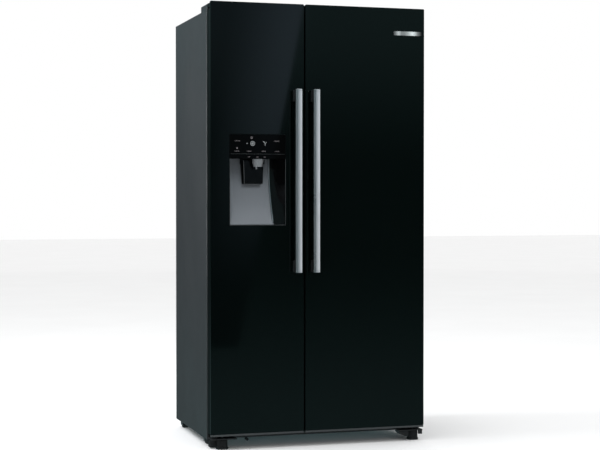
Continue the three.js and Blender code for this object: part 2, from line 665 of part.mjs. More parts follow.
function handle() {
  const half = HANDLE.width / 2;
  const bar = roundedOutline(-half, half, HANDLE_FRONT, HANDLE_FRONT + HANDLE.thickness, HANDLE.corner);
  const mount = (bottom) => {
    const back = HANDLE_FRONT + HANDLE.thickness;
    return block(-half + 3, half - 3, back - 2, GLASS_FRONT - GAP, bottom, bottom + HANDLE.mount);
  };
  const upright = prism('z', bar, HANDLE.bottom, HANDLE.top);
  return join(upright, mount(HANDLE.bottom + 0.5), mount(HANDLE.top - HANDLE.mount - 0.5));
}

const BIN = { depth: 105, wall: 2.5 };

function bin(x0, x1, bottom, height) {
  const body = tub(x1 - x0, BIN.depth, height, BIN.wall);
  return body.translate((x0 + x1) / 2, DOOR_BACK + GAP, bottom);
}

// ---- Dispenser -----------------------------------------------------------------------------

const NICHE = { reach: 69, rise: 230, ease: 1.7, floor: 900 };

// The scoop's side view: a chute that climbs from the front lip and eases into the upright back.
function scoopCurve(setBack) {
  const points = [];
  const steps = 8;
  for (let i = 0; i <= steps; i += 1) {
    const share = i / steps;
    const depth = NICHE.reach * (1 - (1 - share) ** NICHE.ease);
    points.push([NICHE_BACK - NICHE.reach + setBack + depth, NICHE.floor + NICHE.rise * share]);
  }
  return points;
}

const HOUSING_REAR = -200;
const BEZEL = 1.5;
const SCOOP_WALL = 4;

// A moulded box: the niche is open at the front, and the space behind the scoop and over it is hollow.
function dispenserHousing() {
  const { left, right, bottom, top, panelBottom } = DISPENSER;
  const inner = [left + DISPENSER_WALL, right - DISPENSER_WALL];
  const full = block(left, right, GLASS_FRONT, HOUSING_REAR, bottom, top);
  const mouth = GLASS_FRONT - 5;
  const rear = HOUSING_REAR + 1;
  const nicheTop = [[NICHE_BACK, panelBottom], [mouth, panelBottom]];
  const niche = [[mouth, NICHE.floor], ...scoopCurve(0), ...nicheTop];
  const behindTop = [[NICHE_BACK + SCOOP_WALL, panelBottom], [rear, panelBottom]];
  const behind = [[rear, NICHE.floor], ...scoopCurve(SCOOP_WALL), ...behindTop];
  const works = block(...inner, GLASS_FRONT + 12, HOUSING_REAR - 3, panelBottom + 3, top - DISPENSER_WALL);
  const recess = block(left + BEZEL, right - BEZEL, mouth, GLASS_FRONT + 12.5, panelBottom, top - BEZEL);
  return cut(full, prism('x', niche, ...inner), prism('x', behind, ...inner), works, recess);
}

function controlPanel() {
  const { left, right, top, panelBottom } = DISPENSER;
  const inset = BEZEL + GAP;
  return block(left + inset, right - inset, GLASS_FRONT, GLASS_BACK, panelBottom + GAP, top - inset);
}

function withDispenserOpening(geometry) {
  const { left, right, bottom, top } = DISPENSER;
  const [y0, y1] = [GLASS_FRONT - 5, SHELL_FRONT + 10];
  return cut(geometry, block(left - GAP, right + GAP, y0, y1, bottom - GAP, top + GAP));
}

const NOZZLE = { x: -252.6, y: -278.5, tip: 1122 };

function nozzle() {
  return turned([[0, 0], [3.5, 0], [3.5, 9], [18.5, 9], [23.5, 37], [23.5, 40.7], [0, 40.7]], 20);
}

const PADDLE = { x: -265, y: -250, z: 1154, width: 80, length: 93 };

function paddle() {
  const { width, length } = PADDLE;
  const plate = prism('y', roundedOutline(-width / 2, width / 2, -length, 5, 5), -2.5, 2.5);
  return join(plate, rod('x', 3.5, -width / 2 - 6, width / 2 + 6, [0, 0], 12));
}

// ---- Dairy box in the fridge door --------------------------------------------------------------

const DAIRY = { left: 21, right: 345, bottom: 1430, top: 1562, depth: 96, lip: 32, roof: 50 };
const LID_PIVOT = { y: DOOR_BACK + 56, z: 1556 };

function dairyBox() {
  const width = DAIRY.right - DAIRY.left;
  const height = DAIRY.top - DAIRY.bottom;
  const outline = [[0, 0], [DAIRY.depth, 0], [DAIRY.depth, DAIRY.lip], [DAIRY.roof, height], [0, height]];
  const full = prism('x', outline, 0, width);
  const hollow = [
    [3, 3], [DAIRY.depth - 3, 3], [DAIRY.depth - 3, DAIRY.lip + 1], [DAIRY.depth + 9, DAIRY.lip + 1],
    [DAIRY.depth + 9, height - 3], [3, height - 3],
  ];
  return cut(full, prism('x', hollow, 3, width - 3));
}

function dairyLid() {
  const width = DAIRY.right - DAIRY.left;
  const outline = [[0, 3], [4, 3], [46, -92], [42, -94], [0, 0]];
  return prism('x', outline, 2, width - 2);
}

function addDoor(name, door, shell, panel, glass) {
  const group = new THREE.Group();
  piece(group, `${name}_door_shell`, shell, 'steelGrey');
  piece(group, `${name}_door_glass`, glass, 'blackGlass');
  piece(group, `${name}_door_liner`, panel, 'white');
  piece(group, `${name}_door_gasket`, doorGasket(door), 'rubber');
  piece(group, `${name}_handle`, handle(), 'brushed', DOOR_GAP_CENTRE + door.hingeSide * HANDLE.offset);
  refrigerator.add(group);
  return group;
}

const freezerShell = withDispenserOpening(doorShell(FREEZER_DOOR));
const freezerGlass = withDispenserOpening(doorGlass(FREEZER_DOOR));
const freezerDoor = addDoor('freezer', FREEZER_DOOR, freezerShell, freezerInnerPanel(), freezerGlass);
const fridgePanel = innerPanel(FRIDGE_DOOR, FRIDGE);
const fridgeDoor = addDoor('fridge', FRIDGE_DOOR, doorShell(FRIDGE_DOOR), fridgePanel, doorGlass(FRIDGE_DOOR));
piece(freezerDoor, 'dispenser_housing', dispenserHousing(), 'silver');
piece(freezerDoor, 'dispenser_control_panel', controlPanel(), 'blackGlass');
piece(freezerDoor, 'dispenser_nozzle', nozzle(), 'silver', NOZZLE.x, NOZZLE.y, NOZZLE.tip);
piece(freezerDoor, 'dispenser_paddle', paddle(), 'dark', PADDLE.x, PADDLE.y, PADDLE.z);
piece(freezerDoor, 'freezer_door_bin', bin(-346, -146, 640, 110), 'clear');
piece(fridgeDoor, 'fridge_door_bin', bin(20, 346, 640, 120), 'clear');
piece(fridgeDoor, 'dairy_box', dairyBox(), 'clear', DAIRY.left, DOOR_BACK + GAP, DAIRY.bottom);
piece(fridgeDoor, 'dairy_lid', dairyLid(), 'clear', DAIRY.left, LID_PIVOT.y, LID_PIVOT.z + 10);

export default refrigerator;
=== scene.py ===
"""A side by side refrigerator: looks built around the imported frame, in the row frame.

Numbers are in millimetres; the mesh helpers turn them into Blender's metres.
"""
import itertools
import math
import random

import bmesh
import bpy
from mathutils import Matrix, Vector


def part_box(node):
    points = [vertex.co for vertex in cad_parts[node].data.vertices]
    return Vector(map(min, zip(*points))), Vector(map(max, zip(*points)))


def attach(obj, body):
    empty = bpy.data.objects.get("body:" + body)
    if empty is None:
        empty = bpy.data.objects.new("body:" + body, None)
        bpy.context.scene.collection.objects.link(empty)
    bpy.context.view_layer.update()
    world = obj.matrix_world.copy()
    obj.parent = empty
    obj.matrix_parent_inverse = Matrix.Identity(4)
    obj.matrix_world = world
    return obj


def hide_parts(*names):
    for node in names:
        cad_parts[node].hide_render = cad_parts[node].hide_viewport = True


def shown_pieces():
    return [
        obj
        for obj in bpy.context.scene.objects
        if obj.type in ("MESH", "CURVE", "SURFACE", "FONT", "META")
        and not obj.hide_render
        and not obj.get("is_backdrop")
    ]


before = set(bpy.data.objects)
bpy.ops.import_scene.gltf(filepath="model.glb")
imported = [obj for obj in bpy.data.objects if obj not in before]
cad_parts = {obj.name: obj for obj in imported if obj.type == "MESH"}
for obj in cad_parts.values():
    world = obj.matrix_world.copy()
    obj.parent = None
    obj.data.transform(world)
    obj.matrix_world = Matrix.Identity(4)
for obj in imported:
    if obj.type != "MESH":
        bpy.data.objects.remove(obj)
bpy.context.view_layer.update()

MM = 0.001


def box(node):
    """The corners of a CAD node, in millimetres."""
    low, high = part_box(node)
    return low / MM, high / MM


def front_of(low, high, inset=0):
    """A box seen from the front: its (x0, x1, z0, z1), drawn in by an inset."""
    return low.x + inset, high.x - inset, low.z + inset, high.z - inset


# ---- Places taken from the frame ----

GLASS_LOW, GLASS_HIGH = box("freezer_door_glass")
FRIDGE_LOW, FRIDGE_HIGH = box("fridge_door_glass")
HOUSING_LOW, HOUSING_HIGH = box("dispenser_housing")
PANEL_LOW, PANEL_HIGH = box("dispenser_control_panel")
SIDE_LOW, SIDE_HIGH = box("side_panel_left")
FACE = GLASS_LOW.y
DOORS = {"freezer": "freezer_door", "fridge": "fridge_door"}
SIDES = {"left": -1, "right": 1}
STRIP_LONG = 123
STRIP_LEFT = FRIDGE_HIGH.x - 12 - STRIP_LONG


# ---- Materials ----


class Nodes:
    """A material's node tree, with the object's own coordinates in metres as its starting point."""

    def __init__(self, name):
        self.material = bpy.data.materials.new(name)
        self.material.use_nodes = True
        self.tree = self.material.node_tree
        self.place = self.tree.nodes.new("ShaderNodeTexCoord").outputs["Object"]

    def node(self, kind, output, inputs, **settings):
        """Adds a node, sets or links its inputs by name or number and returns one output."""
        made = self.tree.nodes.new("ShaderNode" + kind)
        for setting, value in settings.items():
            setattr(made, setting, value)
        for key, value in inputs.items() if isinstance(inputs, dict) else enumerate(inputs):
            if isinstance(value, bpy.types.NodeSocket):
                self.tree.links.new(value, made.inputs[key])
            else:
                made.inputs[key].default_value = value
        return made.outputs[output]


class Finish(Nodes):
    """A Principled material with a few nodes that vary it over the surface."""

    def __init__(self, name, slot, **sockets):
        super().__init__(name)
        self.shader = self.tree.nodes["Principled BSDF"]
        for socket, value in sockets.items():
            self.shader.inputs[socket.replace("_", " ")].default_value = value

    def pattern(self, kind, output, stretch, settings):
        place = self.node("Mapping", "Vector", {"Vector": self.place, "Scale": stretch})
        return self.node(kind, output, {"Vector": place, **settings})

    def colour(self, value, dark, light, first=0.3, last=0.7):
        ramp = self.tree.nodes.new("ShaderNodeValToRGB")
        stops = ramp.color_ramp.elements
        for stop, place, colour in ((stops[0], first, dark), (stops[1], last, light)):
            stop.position = place
            stop.color = (*colour, 1)
        self.tree.links.new(value, ramp.inputs["Fac"])
        self.tree.links.new(ramp.outputs["Color"], self.shader.inputs["Base Color"])
        return stops

    def rough(self, value, low, high, first=0.3, last=0.7):
        spread = self.node("MapRange", "Result", [value, first, last, low, high])
        self.tree.links.new(spread, self.shader.inputs["Roughness"])

    def bump(self, layers):
        """Each layer is a height, a distance in metres and a strength."""
        below = {}
        for height, distance, strength in layers:
            settings = {"Height": height, "Distance": distance, "Strength": strength, **below}
            below = {"Normal": self.node("Bump", "Normal", settings)}
        self.tree.links.new(below["Normal"], self.shader.inputs["Normal"])


def noise(scale, stretch=(1, 1, 1), detail=3.0):
    return "TexNoise", "Fac", stretch, {"Scale": scale, "Detail": detail, "Roughness": 0.55}


def cells(scale, output="Distance"):
    return "TexVoronoi", output, (1, 1, 1), {"Scale": scale}


def finish(name, slot, colour, rough=None, *bumps, **sockets):
    """A material from (pattern, dark, light), (pattern, smooth, rough) and (pattern, metres, strength)."""
    made = Finish(name, slot, **sockets)
    made.colour(made.pattern(*colour[0]), *colour[1:])
    if rough:
        made.rough(made.pattern(*rough[0]), *rough[1:])
    if bumps:
        made.bump([(made.pattern(*pattern), distance, strength) for pattern, distance, strength in bumps])
    return made.material


GLASS = finish(
    "door_glass", "black_glass",
    (noise(1.3, (1, 1, 0.5)), (0.0004, 0.0014, 0.0012), (0.0007, 0.002, 0.0017)),
    (noise(5.0, (1, 1, 0.4), 6.0), 0.025, 0.06), (noise(1.6), 0.0006, 0.06))
ENAMEL = finish(
    "grey_enamel", "painted_steel",
    (noise(420.0, detail=2.0), (0.02, 0.0213, 0.0232), (0.0255, 0.027, 0.0292)),
    (noise(3.0), 0.36, 0.48), (noise(900.0, detail=2.0), 0.0002, 0.22), (noise(2.2), 0.002, 0.06),
    Specular_IOR_Level=0.45, Coat_Weight=0.15, Coat_Roughness=0.35)
DARK_ENAMEL = finish(
    "dark_enamel", "painted_steel",
    (noise(300.0, detail=2.0), (0.0016, 0.0024, 0.0024), (0.0026, 0.0036, 0.0036)),
    (noise(4.0), 0.34, 0.46), (noise(2.0), 0.0004, 0.05), (noise(900.0), 0.00005, 0.1),
    Specular_IOR_Level=0.08)
TRIM_GREY = finish(
    "trim_grey", "painted_steel", (noise(200.0), (0.040, 0.045, 0.047), (0.056, 0.062, 0.065)),
    (noise(20.0), 0.30, 0.42), (noise(700.0), 0.0001, 0.15))
GRAIN = noise(900.0, (1, 1, 0.02), 4.0)
ALUMINIUM = finish(
    "brushed_aluminium", "brushed_aluminium", (GRAIN, (0.50, 0.51, 0.525), (0.70, 0.71, 0.73)),
    (noise(14.0, (1, 1, 0.2)), 0.26, 0.36), (GRAIN, 0.00015, 0.25), Metallic=1.0, Anisotropic=0.35)
SILVER = finish(
    "silver_paint", "silver_moulding",
    (cells(2600.0, "Color"), (0.105, 0.114, 0.126), (0.140, 0.150, 0.164), 0.1, 0.9),
    (noise(9.0), 0.30, 0.42), (noise(1200.0, detail=1.0), 0.0001, 0.12),
    Metallic=0.25, Coat_Weight=0.2, Coat_Roughness=0.2)
DARK_TRIM = finish(
    "dark_trim", "silver_moulding", (noise(120.0), (0.075, 0.080, 0.083), (0.12, 0.127, 0.13)),
    (noise(45.0), 0.30, 0.44), (noise(600.0), 0.0001, 0.12), Metallic=0.6)
SPOUT = finish(
    "spout_silver", "silver_moulding", (noise(150.0), (0.20, 0.212, 0.225), (0.27, 0.283, 0.295)),
    (noise(30.0), 0.28, 0.40), (noise(900.0), 0.0001, 0.12),
    Metallic=0.35, Coat_Weight=0.3, Coat_Roughness=0.15)
BLACK = finish(
    "gloss_black", "black_plastic", (noise(60.0), (0.0012, 0.0013, 0.0014), (0.0024, 0.0027, 0.0029)),
    (noise(18.0, detail=6.0), 0.08, 0.18), (noise(8.0), 0.0004, 0.05), Specular_IOR_Level=0.35)
GRAINED = finish(
    "grained_black", "black_plastic", (noise(90.0), (0.010, 0.011, 0.012), (0.021, 0.022, 0.024)),
    (noise(40.0), 0.48, 0.66), (cells(1500.0), 0.0002, 0.35), Specular_IOR_Level=0.4)
PANEL = finish(
    "panel_gloss", "black_glass", (noise(3.0), (0.0008, 0.0009, 0.0009), (0.0015, 0.0017, 0.0018)),
    (noise(12.0, detail=6.0), 0.03, 0.08), (noise(2.0), 0.0003, 0.04), Specular_IOR_Level=0.08)
WHITE = finish(
    "white_plastic", "white_liner", (noise(4.0), (0.76, 0.775, 0.78), (0.84, 0.85, 0.855)),
    (noise(25.0), 0.30, 0.42), (noise(700.0, detail=1.0), 0.0001, 0.15), (noise(5.0), 0.0015, 0.05),
    Subsurface_Weight=0.04, Subsurface_Radius=(0.004, 0.004, 0.004), Specular_IOR_Level=0.45)
PRINT = finish(
    "glowing_print", "white_liner", (noise(800.0), (0.24, 0.26, 0.27), (0.34, 0.36, 0.37)),
    Roughness=0.5, Emission_Strength=0.06, Emission_Color=(0.80, 0.86, 0.88, 1))
DIM_PRINT = finish(
    "dim_print", "white_liner", (noise(900.0), (0.14, 0.13, 0.14), (0.20, 0.18, 0.19)),
    Roughness=0.6, Emission_Strength=0.10, Emission_Color=(0.8, 0.72, 0.76, 1))
CLEAR = finish(
    "clear_plastic", "clear_tray", (noise(7.0), (0.80, 0.88, 0.90), (0.90, 0.95, 0.96)),
    (noise(30.0), 0.05, 0.13), (noise(9.0), 0.0008, 0.08), Transmission_Weight=0.86, IOR=1.42)
ICE = finish(
    "ice_white", "clear_tray", (noise(60.0), (0.80, 0.86, 0.90), (0.95, 0.97, 0.99)),
    (noise(90.0), 0.08, 0.35), (noise(120.0), 0.001, 0.3), Transmission_Weight=0.6, IOR=1.31)
LAMP = finish(
    "soft_lamp", "clear_tray", (noise(200.0), (0.82, 0.84, 0.86), (0.88, 0.90, 0.92)),
    Roughness=0.5, Emission_Strength=1.1, Emission_Color=(0.90, 0.96, 1.0, 1))
SHELF = finish(
    "shelf_glass", "shelf_glass", (noise(3.0), (0.78, 0.92, 0.88), (0.88, 0.96, 0.94)),
    (noise(12.0, detail=5.0), 0.015, 0.05), (noise(3.0), 0.0005, 0.03), Transmission_Weight=0.95)
SEAL = finish(
    "seal_rubber", "gasket", (noise(40.0), (0.055, 0.057, 0.060), (0.085, 0.088, 0.092)),
    (noise(55.0), 0.62, 0.78), (noise(800.0), 0.0002, 0.25), Specular_IOR_Level=0.3)
SPANGLE = cells(90.0, "Color")
ZINC = finish(
    "zinc_steel", "zinc_steel", (SPANGLE, (0.32, 0.335, 0.35), (0.46, 0.475, 0.49), 0.1, 0.9),
    (SPANGLE, 0.34, 0.5, 0.1, 0.9), (noise(300.0), 0.0002, 0.12), Metallic=0.9)
COPPER = finish(
    "copper_tube", "copper", (noise(35.0, detail=5.0), (0.30, 0.12, 0.055), (0.62, 0.31, 0.17)),
    (noise(60.0), 0.24, 0.44), (noise(400.0), 0.0002, 0.15), Metallic=1.0)
FOAM = finish(
    "insulating_foam", "foam", (noise(35.0, detail=6.0), (0.62, 0.50, 0.22), (0.74, 0.62, 0.32)),
    (noise(80.0), 0.85, 0.97), (cells(700.0), 0.0004, 0.4))


def painted_glint_metal():
    """Polished metal with painted glints: light and dark grey bands painted across the strip stand for its
    reflections.
    """
    made = Finish("painted_glint_metal", "brushed_aluminium", Metallic=0.85)
    across = made.node("SeparateXYZ", "X", [made.place])
    ends = [STRIP_LEFT * MM, (STRIP_LEFT + STRIP_LONG) * MM]
    share = made.node("MapRange", "Result", [across, *ends, 0.0, 1.0])
    glint_wander = made.pattern(*noise(60.0, (1, 1, 30)))
    wobble = made.node("Math", "Value", [glint_wander, 0.05, share], operation="MULTIPLY_ADD")
    stops = made.colour(wobble, (0.03, 0.032, 0.033), (0.02, 0.022, 0.023), 0.0, 1.0)
    # Painted glints: these grey stops paint bright and dark reflection bands along the strip's length.
    painted_glint_greys = {0.08: 0.20, 0.20: 0.66, 0.30: 0.27, 0.42: 0.31, 0.54: 0.52, 0.69: 0.98, 0.78: 0.72, 0.88: 0.24}
    for place, grey in painted_glint_greys.items():
        stops.new(place).color = (grey * 0.97, grey, grey * 0.99, 1)
    made.rough(made.pattern(*noise(30.0)), 0.22, 0.30)
    made.bump([(made.pattern(*noise(40.0, (1, 1, 20))), 0.0001, 0.15)])
    return made.material


PAINTED_GLINT_METAL = painted_glint_metal()


# ---- Mesh making ----

SHARP = math.radians(32)


def even_normals(thing):
    """Keeps large faces optically flat beside their rounded edges."""
    weighted = thing.modifiers.new("even_normals", "WEIGHTED_NORMAL")
    weighted.keep_sharp = True
    weighted.weight = 100


def new_object(name, shape, material):
    mesh = bpy.data.meshes.new(name)
    shape.to_mesh(mesh)
    shape.free()
    mesh.materials.append(material)
    thing = bpy.data.objects.new(name, mesh)
    bpy.context.scene.collection.objects.link(thing)
    return thing


def piece(name, material, body, parts, *replaced):
    """Joins parts into a piece that rides on a body and stands for the CAD nodes named."""
    shape = bmesh.new()
    for part in parts:
        mesh = bpy.data.meshes.new("part")
        part.to_mesh(mesh)
        part.free()
        shape.from_mesh(mesh)
        bpy.data.meshes.remove(mesh)
    bmesh.ops.recalc_face_normals(shape, faces=shape.faces)
    thing = new_object(name, shape, material)
    for face in thing.data.polygons:
        face.use_smooth = True
    thing.data.set_sharp_from_angle(angle=SHARP)
    even_normals(thing)
    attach(thing, body)
    if replaced:
        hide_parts(*replaced)


def dress(node, material, radius=0, segments=2):
    """Keeps a CAD node's own mesh, welded, with softened edges and a better material."""
    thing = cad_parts[node]
    thing.data.materials.clear()
    thing.data.materials.append(material)
    weld = thing.modifiers.new("weld", "WELD")
    weld.merge_threshold = 0.02 * MM
    if radius > 0:
        bevel = thing.modifiers.new("soft_edges", "BEVEL")
        bevel.width = radius * MM
        bevel.segments = segments
        bevel.limit_method = "ANGLE"
        bevel.angle_limit = math.radians(40)
        even_normals(thing)


def soften(part, radius, segments=2, angle=30):
    """Rounds every edge sharper than an angle."""
    if radius > 0:
        limit = math.radians(angle)
        edges = [e for e in part.edges if len(e.link_faces) == 2 and e.calc_face_angle(0) > limit]
        bmesh.ops.bevel(part, geom=edges, offset=radius * MM, segments=segments, profile=0.5,
                        affect="EDGES", clamp_overlap=True)
    return part


def block(low, high, radius=0, segments=2):
    """A box with rounded edges between two corners."""
    part = bmesh.new()
    bmesh.ops.create_cube(part, size=1)
    for vert in part.verts:
        vert.co = [(near + (share + 0.5) * (far - near)) * MM for near, far, share in zip(low, high, vert.co)]
    return soften(part, radius, segments)


def bridge(part, near, far, closed=True):
    """Adds a strip of faces between two rows of corners."""
    for i in range(len(near) if closed else len(near) - 1):
        j = (i + 1) % len(near)
        part.faces.new((near[i], near[j], far[j], far[i]))


def loop(part, axis, outline, level):
    """New corners for an outline: it holds (y, z) along X, (x, z) along Y and (x, y) along Z."""
    rows = {"x": lambda u, v: (level, u, v), "y": lambda u, v: (u, level, v), "z": lambda u, v: (u, v, level)}
    return [part.verts.new([value * MM for value in rows[axis](u, v)]) for u, v in outline]


def prism(axis, outline, start, end, radius=0, segments=2, angle=50):
    """An outline carried straight along an axis, with its sharp edges rounded."""
    part = bmesh.new()
    low, high = [loop(part, axis, outline, level) for level in (start, end)]
    part.faces.new(low)
    part.faces.new(high[::-1])
    bridge(part, low, high)
    bmesh.ops.recalc_face_normals(part, faces=part.faces)
    return soften(part, radius, segments, angle)


def arc(centre, radius, start, end, steps=8):
    """Points on a circle between two angles in degrees."""
    turns = [math.radians(start + (end - start) * i / steps) for i in range(steps + 1)]
    return [(centre[0] + radius * math.cos(t), centre[1] + radius * math.sin(t)) for t in turns]


def rounded(u0, u1, v0, v1, radius, steps=6):
    """The outline of a rectangle with round corners."""
    points = arc((u1 - radius, v0 + radius), radius, -90, 0, steps)
    points += arc((u1 - radius, v1 - radius), radius, 0, 90, steps)
    points += arc((u0 + radius, v1 - radius), radius, 90, 180, steps)
    return points + arc((u0 + radius, v0 + radius), radius, 180, 270, steps)


def ring(axis, outer, inner, start, end, radius=0, steps=5, corners=(4, 4), segments=2):
    """A flat ring carried along an axis: outer and inner are (u0, u1, v0, v1), with round corners."""
    part = bmesh.new()
    outlines = [rounded(*outer, corners[0], steps), rounded(*inner, corners[1], steps)]
    low_out, low_in, high_out, high_in = [
        loop(part, axis, outline, level) for level in (start, end) for outline in outlines]
    for near, far in ((low_out, low_in), (high_in, high_out), (high_out, low_out), (low_in, high_in)):
        bridge(part, near, far)
    bmesh.ops.recalc_face_normals(part, faces=part.faces)
    return soften(part, radius, segments)


def moved(part, place, turn):
    part.transform(Matrix.Translation(Vector(place) * MM) @ turn)
    return part


def turned(profile, centre, axis="z", sides=40):
    """A turned solid: profile holds (radius, height along the axis) from end to end."""
    part = bmesh.new()
    rings = []
    for radius, height in profile:
        turns = [2 * math.pi * i / sides for i in range(sides if radius > 0 else 1)]
        points = [(radius * math.cos(t), radius * math.sin(t), height) for t in turns]
        rings.append([part.verts.new([value * MM for value in point]) for point in points])
    for lower, upper in zip(rings, rings[1:]):
        for i in range(sides):
            near = [row[k % len(row)] for row, k in ((lower, i), (lower, (i + 1) % sides))]
            far = [row[k % len(row)] for row, k in ((upper, (i + 1) % sides), (upper, i))]
            corners = list(dict.fromkeys(near + far))
            if len(corners) > 2:
                part.faces.new(corners)
    for end in (rings[0], rings[-1]):
        if len(end) > 2:
            part.faces.new(end)
    around, angle = {"x": ("Y", math.pi / 2), "y": ("X", -math.pi / 2), "z": ("Z", 0)}[axis]
    bmesh.ops.recalc_face_normals(part, faces=part.faces)
    return moved(part, centre, Matrix.Rotation(angle, 4, around))


def sheet(rows, thickness):
    """A curved sheet through a grid of points, thickened away from its front."""
    part = bmesh.new()
    front = [[part.verts.new([value * MM for value in point]) for point in row] for row in rows]
    for near, far in zip(front, front[1:]):
        bridge(part, near, far, False)
    part.normal_update()
    back = [[part.verts.new(vert.co - vert.normal * thickness * MM) for vert in row] for row in front]
    for near, far in zip(back, back[1:]):
        bridge(part, far, near, False)
    for end in (0, -1):
        bridge(part, front[end], back[end], False)
        bridge(part, [row[end] for row in front], [row[end] for row in back], False)
    return part


def widths(part):
    return [max(v.co[i] for v in part.verts) - min(v.co[i] for v in part.verts) for i in range(3)]


def shell(part, opening, radius, wall, segments=3):
    """Opens a closed solid on one side, rounds it and gives it walls that grow inwards."""
    bmesh.ops.recalc_face_normals(part, faces=part.faces)
    lid = [face for face in part.faces if face.normal.dot(Vector(opening)) > 0.9]
    bmesh.ops.delete(part, geom=lid, context="FACES_ONLY")
    soften(part, radius, segments)
    probe = part.copy()
    bmesh.ops.solidify(probe, geom=probe.faces[:], thickness=wall * MM)
    outwards = any(new > old + wall * MM / 2 for new, old in zip(widths(probe), widths(part)))
    probe.free()
    bmesh.ops.solidify(part, geom=part.faces[:], thickness=wall * MM * (-1 if outwards else 1))
    return soften(part, 0.5, 2, 70)


def tube(path, radius, sides=12):
    """A round tube through a list of points, with its bends eased."""
    points = [Vector(point) * MM for point in path]
    eased = [points[0]]
    for before, corner, after in zip(points, points[1:], points[2:]):
        reach = min((before - corner).length, (after - corner).length) * 0.4
        start = corner + (before - corner).normalized() * reach
        end = corner + (after - corner).normalized() * reach
        for t in [i / 6 for i in range(7)]:
            eased.append(start * (1 - t) ** 2 + corner * 2 * t * (1 - t) + end * t ** 2)
    eased.append(points[-1])
    part = bmesh.new()
    rings = []
    side = None
    for i, place in enumerate(eased):
        ahead = (eased[min(i + 1, len(eased) - 1)] - eased[max(i - 1, 0)]).normalized()
        side = side or ahead.orthogonal()
        side = (side - ahead * side.dot(ahead)).normalized()
        up = ahead.cross(side)
        circle = arc((0, 0), radius * MM, 0, 360, sides)[:-1]
        rings.append([part.verts.new(place + side * u + up * v) for u, v in circle])
    for lower, upper in zip(rings, rings[1:]):
        bridge(part, lower, upper)
    part.faces.new(rings[0])
    part.faces.new(rings[-1])
    bmesh.ops.recalc_face_normals(part, faces=part.faces)
    return part


def screw(place, radius, axis="z", sign=1, sides=20):
    """A domed screw head with a flange, standing on a surface."""
    flange = [(0, -0.2), (1.25, -0.2), (1.3, 0.12), (1.0, 0.2)]
    profile = flange + [(0.96, 0.5), (0.7, 0.72), (0.32, 0.78), (0.30, 0.5), (0, 0.5)]
    return turned([(r * radius, z * radius * sign) for r, z in profile], place, axis, sides)


# ---- Door glass ----

def glass_fronts():
    """Both panes with polished edges, and the dispenser's opening in the left one."""
    gap, edge, corner = 0.4, 1.1, 4.5
    low, high = FRIDGE_LOW, FRIDGE_HIGH
    pane = prism("y", rounded(*front_of(low, high), corner), low.y, high.y, edge, 3)
    piece("fridge_glass_front", GLASS, "fridge_door", [pane], "fridge_door_glass")
    low, high = GLASS_LOW, GLASS_HIGH
    hole = front_of(HOUSING_LOW, HOUSING_HIGH, -gap)
    pane = ring("y", front_of(low, high), hole, low.y, high.y, edge, 6, (corner, 3), 3)
    piece("freezer_glass_front", GLASS, "freezer_door", [pane], "freezer_door_glass")


# ---- Handles ----

def bowed_outline(left, right, front, back, corner, bow):
    """A bar's section: a gently bowed front between small rounded corners."""
    outline = arc((left + corner, front + bow + corner), corner, 180, 250, 5)
    steps = 12
    for i in range(1, steps):
        share = 2 * i / steps - 1
        outline.append((left + (right - left) * i / steps, front + bow * share * share))
    outline += arc((right - corner, front + bow + corner), corner, 290, 360, 5)
    outline += arc((right - corner, back - corner), corner, 0, 90, 5)
    return outline + arc((left + corner, back - corner), corner, 90, 180, 5)


def handle(name, body):
    """A rounded bar on two dark mounts, with a fine seam under each end cap."""
    low, high = box(name)
    middle = (low.x + high.x) / 2
    back = low.y + 18
    cap, seam, tall, play = 7, 0.25, 48, 0.6
    outline = bowed_outline(low.x, high.x, low.y, back, 2.2, 1.6)
    bar = prism("z", outline, low.z + cap + seam, high.z - cap - seam, 0.2, 1)
    piece(f"{name}_bar", ALUMINIUM, body, [bar], name)
    ends = ((low.z, low.z + cap), (high.z - cap, high.z))
    caps = [prism("z", outline, start, end, 1.2, 3) for start, end in ends]
    piece(f"{name}_end_caps", ALUMINIUM, body, caps)
    half = (high.x - low.x) / 2 - 3
    mounts = []
    for start in (low.z + play, high.z - tall - play):
        post = rounded(middle - half, middle + half, start, start + tall, 4, 5)
        mounts.append(prism("y", post, back - 3, FACE - 0.3, 0.8))
        flange = rounded(middle - half - 1.5, middle + half + 1.5, start - 0.5, start + tall + 0.5, 5, 5)
        mounts.append(prism("y", flange, FACE - 3.2, FACE - 0.3, 0.8))
    piece(f"{name}_mounts", GRAINED, body, mounts)


# ---- Trim strip ----

def trim_strip():
    """A plain polished strip near the top right corner of the fridge door, with glints painted into its
    colour.
    """
    top = FRIDGE_HIGH.z - 95
    right = STRIP_LEFT + STRIP_LONG
    bar = prism("y", rounded(STRIP_LEFT, right, top - 17, top, 2.2), FACE - 1.6, FACE - 0.05, 0.6, 3)
    raised = rounded(STRIP_LEFT + 4, right - 4, top - 13.8, top - 3.2, 1.4)
    field = prism("y", raised, FACE - 1.9, FACE - 1.5, 0.1, 1)
    piece("trim_strip", PAINTED_GLINT_METAL, "fridge_door", [bar, field])


# ---- Dispenser ----

NICHE_LEFT, NICHE_RIGHT = HOUSING_LOW.x + 3, HOUSING_HIGH.x - 3
NICHE_FLOOR, NICHE_TOP = HOUSING_LOW.z + 3.3, PANEL_LOW.z - 0.3
NICHE_LIP, NICHE_BACK = FACE + 4, FACE + 75.5
NICHE_RISE = 230
SPLIT = HOUSING_LOW.x + 182
HEIGHTS = [NICHE_FLOOR + (NICHE_TOP - NICHE_FLOOR) * i / 24 for i in range(25)]


def niche_depth(height):
    """How far back the chute's surface lies at a height: it climbs from the lip and eases upright."""
    left_over = max(0.0, 1 - (height - NICHE_FLOOR) / NICHE_RISE)
    return NICHE_LIP + (NICHE_BACK - NICHE_LIP) * (1 - left_over ** 1.7)


